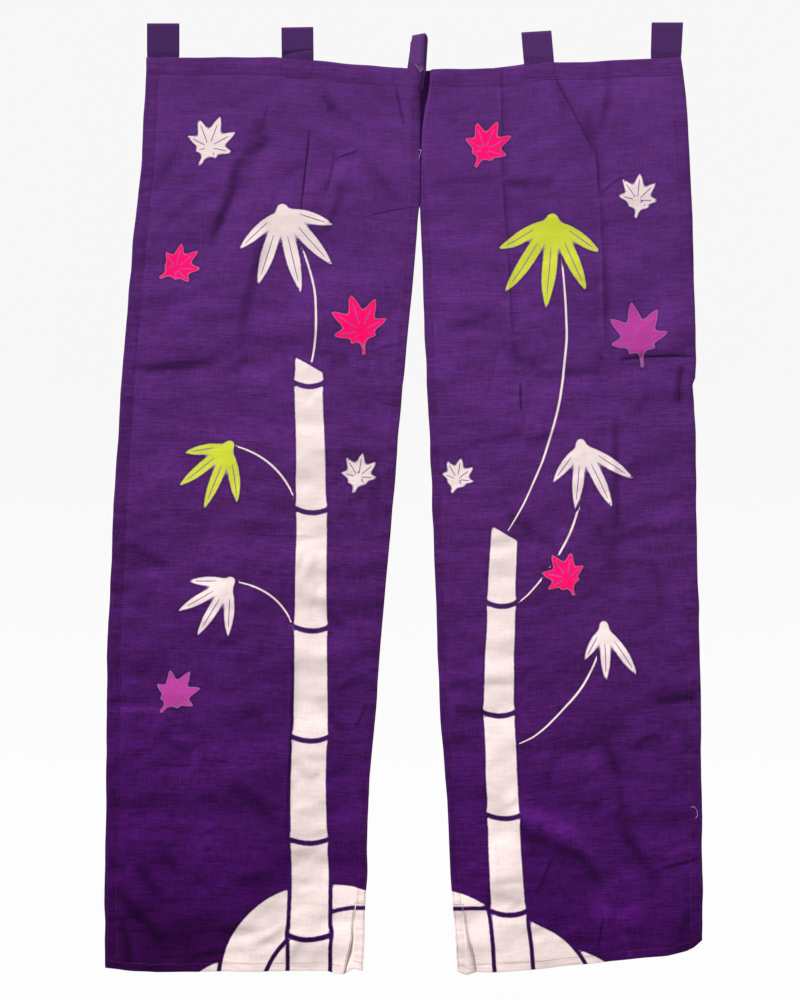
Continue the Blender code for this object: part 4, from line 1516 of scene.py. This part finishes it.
def creased_place(loop, share, height):
    """The same on the loop that turns back at its crease, as a straight, a bend, a straight."""
    left, right = loop_edges(loop, height)
    opened = float(ease(height * (loop.heading - loop.top) / SPREAD_HEIGHT))
    radius = between(*CREASE_RADIUS, opened)
    half_loop = (TAPE + SEWN_GAP) / 2 + (LOOP_CLEAR - SEWN_GAP) / 2 * opened
    centre = Vector((right - radius - half_loop - TAPE / 2, LOOP_SET_BACK + radius))
    if share <= 1 / 3:
        return Vector((left + (centre.x - left) * share * 3, LOOP_SET_BACK)), Vector((0, 1))
    if share >= 2 / 3:
        x = centre.x - TURNED_BACK * (share - 2 / 3) * 3
        return Vector((x, LOOP_SET_BACK + 2 * radius)), Vector((0, -1))
    angle = math.pi * (share - 1 / 3) * 3
    outwards = Vector((math.sin(angle), -math.cos(angle)))
    return centre + radius * outwards, -outwards


print("the tape's way over a loop:", len(loop_path(LOOPS[0])), "places")

# %% Making the loops
def make_loop(loop):
    """One loop of tape, with its ribs raised and any crease pressed in."""
    path = loop_path(loop)
    across, steps = RIBS * STEPS_PER_RIB, len(path) - 1
    locate = creased_place if loop.name == CREASED_LOOP else plain_place
    crease = TAPE_CREASES.get(loop.name)
    slope = SLOPES.get(loop.name)
    bm = bmesh.new()
    bmesh.ops.create_grid(bm, x_segments=across, y_segments=steps, size=0.5)
    uv_layer = bm.loops.layers.uv.new("tape")
    for face in bm.faces:
        for corner in face.loops:
            corner[uv_layer].uv = corner.vert.co.x + 0.5, corner.vert.co.y + 0.5
    for vertex in bm.verts:
        share = vertex.co.x + 0.5
        offset, drop = path[round((vertex.co.y + 0.5) * steps)]
        height = max(loop.heading - drop, 0) / (loop.heading - loop.top)
        middle, backwards = locate(loop, share, height)
        offset += math.copysign(RIB_RISE, offset) * math.cos(2 * math.pi * RIBS * share)
        if crease and offset < 0:
            away = abs(drop - between(crease.left, crease.right, share))
            depth = crease.depth * (1 - crease.lost * share)
            offset += depth * math.exp(-away / crease.spread)
        if slope:
            drop += float(read(slope, "drop", share)) * height**2
        plan = middle + offset * backwards
        if loop.name == CREASED_LOOP and drop > loop.heading:
            plan.x += float(slit_at("left", drop)) - SECTIONS[0].left_slit
        vertex.co = Vector((plan.x, plan.y, -drop)) * MM
    piece = new_object(loop.name.replace("tab", "tape"), bm, [tape])
    store(piece.data, "faded", "FLOAT", np.full(len(piece.data.vertices), WEAR_AND_PAINTED_LIGHT[loop.name]))
    solidify = piece.modifiers.new("tape thickness", "SOLIDIFY")
    solidify.thickness = (TAPE - 2 * RIB_RISE) * MM
    solidify.offset = 0
    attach(piece, "root")
    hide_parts(loop.name)
    print(piece.name, len(piece.data.polygons), "faces")


for loop in LOOPS:
    make_loop(loop)

# %% [markdown]
# ## Sewing thread
#
# Every hem is held by rows of lockstitch, 3 mm a stitch, in a plum thread that shows most
# on the pale print. A texture could draw it, but raised thread catches the light from any
# side. So each row is one long tube. It rises over the cloth for each stitch and dips into it
# between two. Boxes with a cross hold the loops, and bars of close stitches end the vents.

# %% Thread
THREAD_RADIUS = 0.22
THREAD_SIDES = 5
STITCH = 3.0
RINGS_PER_STITCH = 4
SAME_PLACE = 0.001 * MM  # points this close are merged
STITCH_RISE = 0.34  # the thread's highest point over the cloth
STITCH_DIP = 0.3  # and how far it dips between two stitches
THREAD_END = 1.5  # over which it narrows to a point
TWISTS = 900.0  # to the metre
TWIST_SHADE = (0.8, 1.2)  # between two twists and on one

thread, tree = new_material("spun_polyester_sewing_thread")
place = add(tree, "TexCoord", get="Object")
twist = add(tree, "TexNoise", {"Vector": place, "Scale": TWISTS, "Detail": 1.0})
(low, high), (least, most) = NOISE_RANGE, TWIST_SHADE
shade = add(tree, "MapRange", {0: twist, 1: low, 2: high, 3: least, 4: most})
shade = add(tree, "VectorMath", {0: linear("#5a284c")[:3], "Scale": shade}, operation="SCALE")
spun = add(
    tree,
    "BsdfPrincipled",
    {"Base Color": shade, "Roughness": 0.6, "Specular IOR Level": 0.06},
)
add(tree, "OutputMaterial", {"Surface": spun})
print("thread:", THREAD_RADIUS * 2, "mm thick")

# %% Sewing
def spin_tube(bm, points):
    """Adds a closed tube of thread along a line of points in metres."""
    part = bmesh.new()
    bmesh.ops.create_grid(part, x_segments=len(points) - 1, y_segments=THREAD_SIDES, size=0.5)
    mesh = bpy.data.meshes.new("thread")
    part.to_mesh(mesh)
    part.free()
    ring, side = grid_steps(mesh, len(points) - 1, THREAD_SIDES)
    run = np.gradient(points, axis=0)
    sideways = np.cross(run, (0, -1, 0))
    sideways = sideways / np.linalg.norm(sideways, axis=1)[:, None]
    along = np.cumsum(np.linalg.norm(run, axis=1)) / MM
    to_end = np.minimum(along - along[0], along[-1] - along)
    radius = THREAD_RADIUS * MM * np.sqrt(np.clip(to_end / THREAD_END, 0, 1))
    angle = 2 * math.pi * side / THREAD_SIDES
    around = np.cos(angle)[:, None] * sideways[ring]
    around[:, 1] -= np.sin(angle)
    mesh.vertices.foreach_set("co", (points[ring] + around * radius[ring, None]).ravel())
    bm.from_mesh(mesh)
    bpy.data.meshes.remove(mesh)


def sew(bm, side, from_slit, drop):
    """Sews along a line of places on a panel's face, which need not be evenly spaced."""
    lengths = np.hypot(np.diff(from_slit), np.diff(drop))
    gone = np.concatenate([[0], np.cumsum(lengths)])
    rings = max(int(gone[-1] / STITCH * RINGS_PER_STITCH), RINGS_PER_STITCH)
    at = np.linspace(0, gone[-1], rings + 1)
    points = face_point(side, np.interp(at, gone, from_slit), np.interp(at, gone, drop))
    lift = np.sin(math.pi * at / STITCH) ** 2
    points[:, 1] -= (lift * (STITCH_RISE + STITCH_DIP) - STITCH_DIP) * MM
    spin_tube(bm, points)


print("rings of thread in 100 mm:", int(100 / STITCH * RINGS_PER_STITCH))

# %% Rows of stitches
ROW_STEP = 12  # between two known places on a row
ROW_PLACES = 40
SLIT_ROWS = (2.4, 12.4)  # from the slit edge
VENT_ROWS = (-2.0, 2.2)  # from the vent
OUTER_ROWS = (4.4, 18.8)  # from the outer edge
HEADING_ROWS = (2.6, 26.4)  # below the top edge
BOTTOM_ROW = 12.2  # above the bottom edge
SLIT_START = {"left": 120, "right": SEAM_END + 4}  # the drop at which the slit's rows start
OUTER_START = 60  # the drop at which the outer rows start
OUTER_SHARE = 0.98  # the share of the width where they end
ROW_CLEAR = 6.0  # how far above the hem the upright rows end
HEADING_START = {"left": 0.02, "right": 0.12}  # as a share of the width
BOTTOM_PARTS = ((0.005, 0.055), (0.085, 0.985))  # on both sides of the vent
ROW_END = 0.985
VENT_CLEAR = 2.0  # how far above the vent the slit's rows pause
LAST_STEP = 2  # the least way from the last known place to the end of a row


def hem_rows(side):
    """The lines of stitches that hold a panel's hems, as distances from the slit and drops."""
    upper_end, lower_end = VENT_TOP - VENT_CLEAR, HEM_DROP - ROW_CLEAR
    drops = np.append(np.arange(SLIT_START[side], upper_end, ROW_STEP), upper_end)
    lower = np.append(np.arange(VENT_TOP, lower_end - LAST_STEP, ROW_STEP), lower_end)
    for distance in SLIT_ROWS:
        yield distance + 0 * drops, drops
    yield SLIT_ROWS[0] + 0 * lower, lower
    vent = read(VENTS, side, lower) * width_at(side, lower)
    for distance in VENT_ROWS:
        yield vent + distance, lower
    end = read(HEM[side], "drop", OUTER_SHARE) - ROW_CLEAR
    drops = np.arange(OUTER_START, end, ROW_STEP)
    for distance in OUTER_ROWS:
        yield width_at(side, drops) - distance, drops
    shares = np.linspace(HEADING_START[side], ROW_END, ROW_PLACES)
    for distance in HEADING_ROWS:
        drop = read(HEADING[side], "drop", shares) + distance
        yield shares * width_at(side, drop), drop
    for first, last in BOTTOM_PARTS:
        shares = np.linspace(first, last, ROW_PLACES)
        drop = read(HEM[side], "drop", shares) - BOTTOM_ROW
        yield shares * width_at(side, drop), drop


print("rows of stitches on a panel:", len(list(hem_rows("left"))))

# %% Boxes and bars
BOX = (43, 21, 3)  # of the stitching under a loop: width, height, drop below the edge
BOX_CLEAR = 8  # how much narrower than its loop it is at least
BAR_TEETH = 7
BAR_RISE = 0.9  # how far its teeth reach up and down
BAR_ABOVE = 1.5  # how far above the end of the vent it is
BAR_ENDS = (1.0, 2.0)  # from the slit to its start, and from the vent to its end


def box_rows(loop):
    """A box of stitches with a cross in it, on the panel that a loop is sewn to."""
    width, height, below = BOX
    middle = (loop.base_left + loop.base_right) / 2
    half = min(width, loop.base_right - loop.base_left - BOX_CLEAR) / 2
    top, bottom = loop.heading + below, loop.heading + below + height
    left, right = middle - half, middle + half
    start, end = (left, top), (right, bottom)
    yield [start, (right, top), end, (left, bottom), start, end]
    yield [(right, top), (left, bottom)]


def bar_tack(side):
    """Close zigzag stitches across the strip beside the slit, where the vent ends."""
    end = float(read(VENTS, side, VENT_TOP) * width_at(side, VENT_TOP))
    from_slit = np.linspace(BAR_ENDS[0], end + BAR_ENDS[1], 2 * BAR_TEETH)
    drops = VENT_TOP - BAR_ABOVE + BAR_RISE * np.array([1, -1] * BAR_TEETH)
    return from_slit, drops


print("stitches in a bar:", 2 * BAR_TEETH - 1)

# %% Stitching
def make_stitching(side):
    """All the thread in one panel, as one piece."""
    bm = bmesh.new()
    for from_slit, drop in hem_rows(side):
        sew(bm, side, from_slit, drop)
    sew(bm, side, *bar_tack(side))
    for loop in LOOPS:
        if (loop.name in LEFT_LOOPS) != (side == "left"):
            continue
        for corners in box_rows(loop):
            x, drop = np.array(corners).T
            sew(bm, side, OUTWARDS[side] * (x - slit_at(side, drop)), drop)
    bmesh.ops.remove_doubles(bm, verts=bm.verts, dist=SAME_PLACE)
    bmesh.ops.recalc_face_normals(bm, faces=bm.faces)
    piece = new_object("stitching_" + side, bm, [thread])
    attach(piece, "root")
    print(piece.name, len(piece.data.polygons), "faces")


for side in OUTWARDS:
    make_stitching(side)

# %% [markdown]
# A used curtain has loose threads: ends that were not trimmed at the middle loop, a knot
# lower on the seam and a hook of pale yarn at the right edge. Each is a short tube along a
# few points, which stands a little way in front of the cloth. They are kept as small as
# they are on the real one.

# %% Loose threads
LOOSE = (
    ((-7, 65.6), (-5, 70), (-1.6, 74.5), (1.2, 77), (0.8, 79.7)),
    ((-1.6, 70.3), (2.2, 72.6), (3.9, 74.2), (2, 76.5), (-0.8, 78.9)),
    ((-3.9, 201.6), (-0.8, 200), (1.8, 201), (2.3, 203.9)),
    ((0.5, 200), (1, 204), (0.3, 209.4)),
    ((-1.9, 207.8), (-0.6, 211.7), (-2.5, 215.6)),
    ((423.4, 1228), (428.1, 1225.8), (432.8, 1231.3), (433.6, 1240.6), (430.5, 1245.3)),
)
LOOSE_STEPS = 6  # rings from one point to the next
RIGHT_OF_SEAM = 3  # a thread further right hangs before the right panel
LOOSE_LIFT = (0.5, 0.3)  # how far a thread stands off the cloth, and how much that varies

pale_yarn, tree = new_material("loose_undyed_yarn")
undyed = add(tree, "BsdfPrincipled", {"Base Color": linear("#b79fbb"), "Roughness": 0.8})
add(tree, "OutputMaterial", {"Surface": undyed})


def make_loose_threads():
    """The loose threads, in front of the cloth."""
    bm = bmesh.new()
    for ends in LOOSE:
        x, drop = np.array(ends).T
        known = np.arange(len(x))
        at = np.linspace(0, known[-1], known[-1] * LOOSE_STEPS + 1)
        x, drop = np.interp(at, known, x), np.interp(at, known, drop)
        side = "left" if x.mean() < RIGHT_OF_SEAM else "right"
        from_slit = OUTWARDS[side] * (x - slit_at(side, drop))
        points = face_point(side, np.clip(from_slit, 0, None), drop)
        points[:, 0] = x * MM
        lift = LOOSE_LIFT[0] + LOOSE_LIFT[1] * np.sin(at)
        points[:, 1] = points[:, 1].min() - lift * MM
        spin_tube(bm, points)
    piece = new_object("loose_threads", bm, [pale_yarn])
    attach(piece, "root")
    print(piece.name, len(piece.data.polygons), "faces")


make_loose_threads()
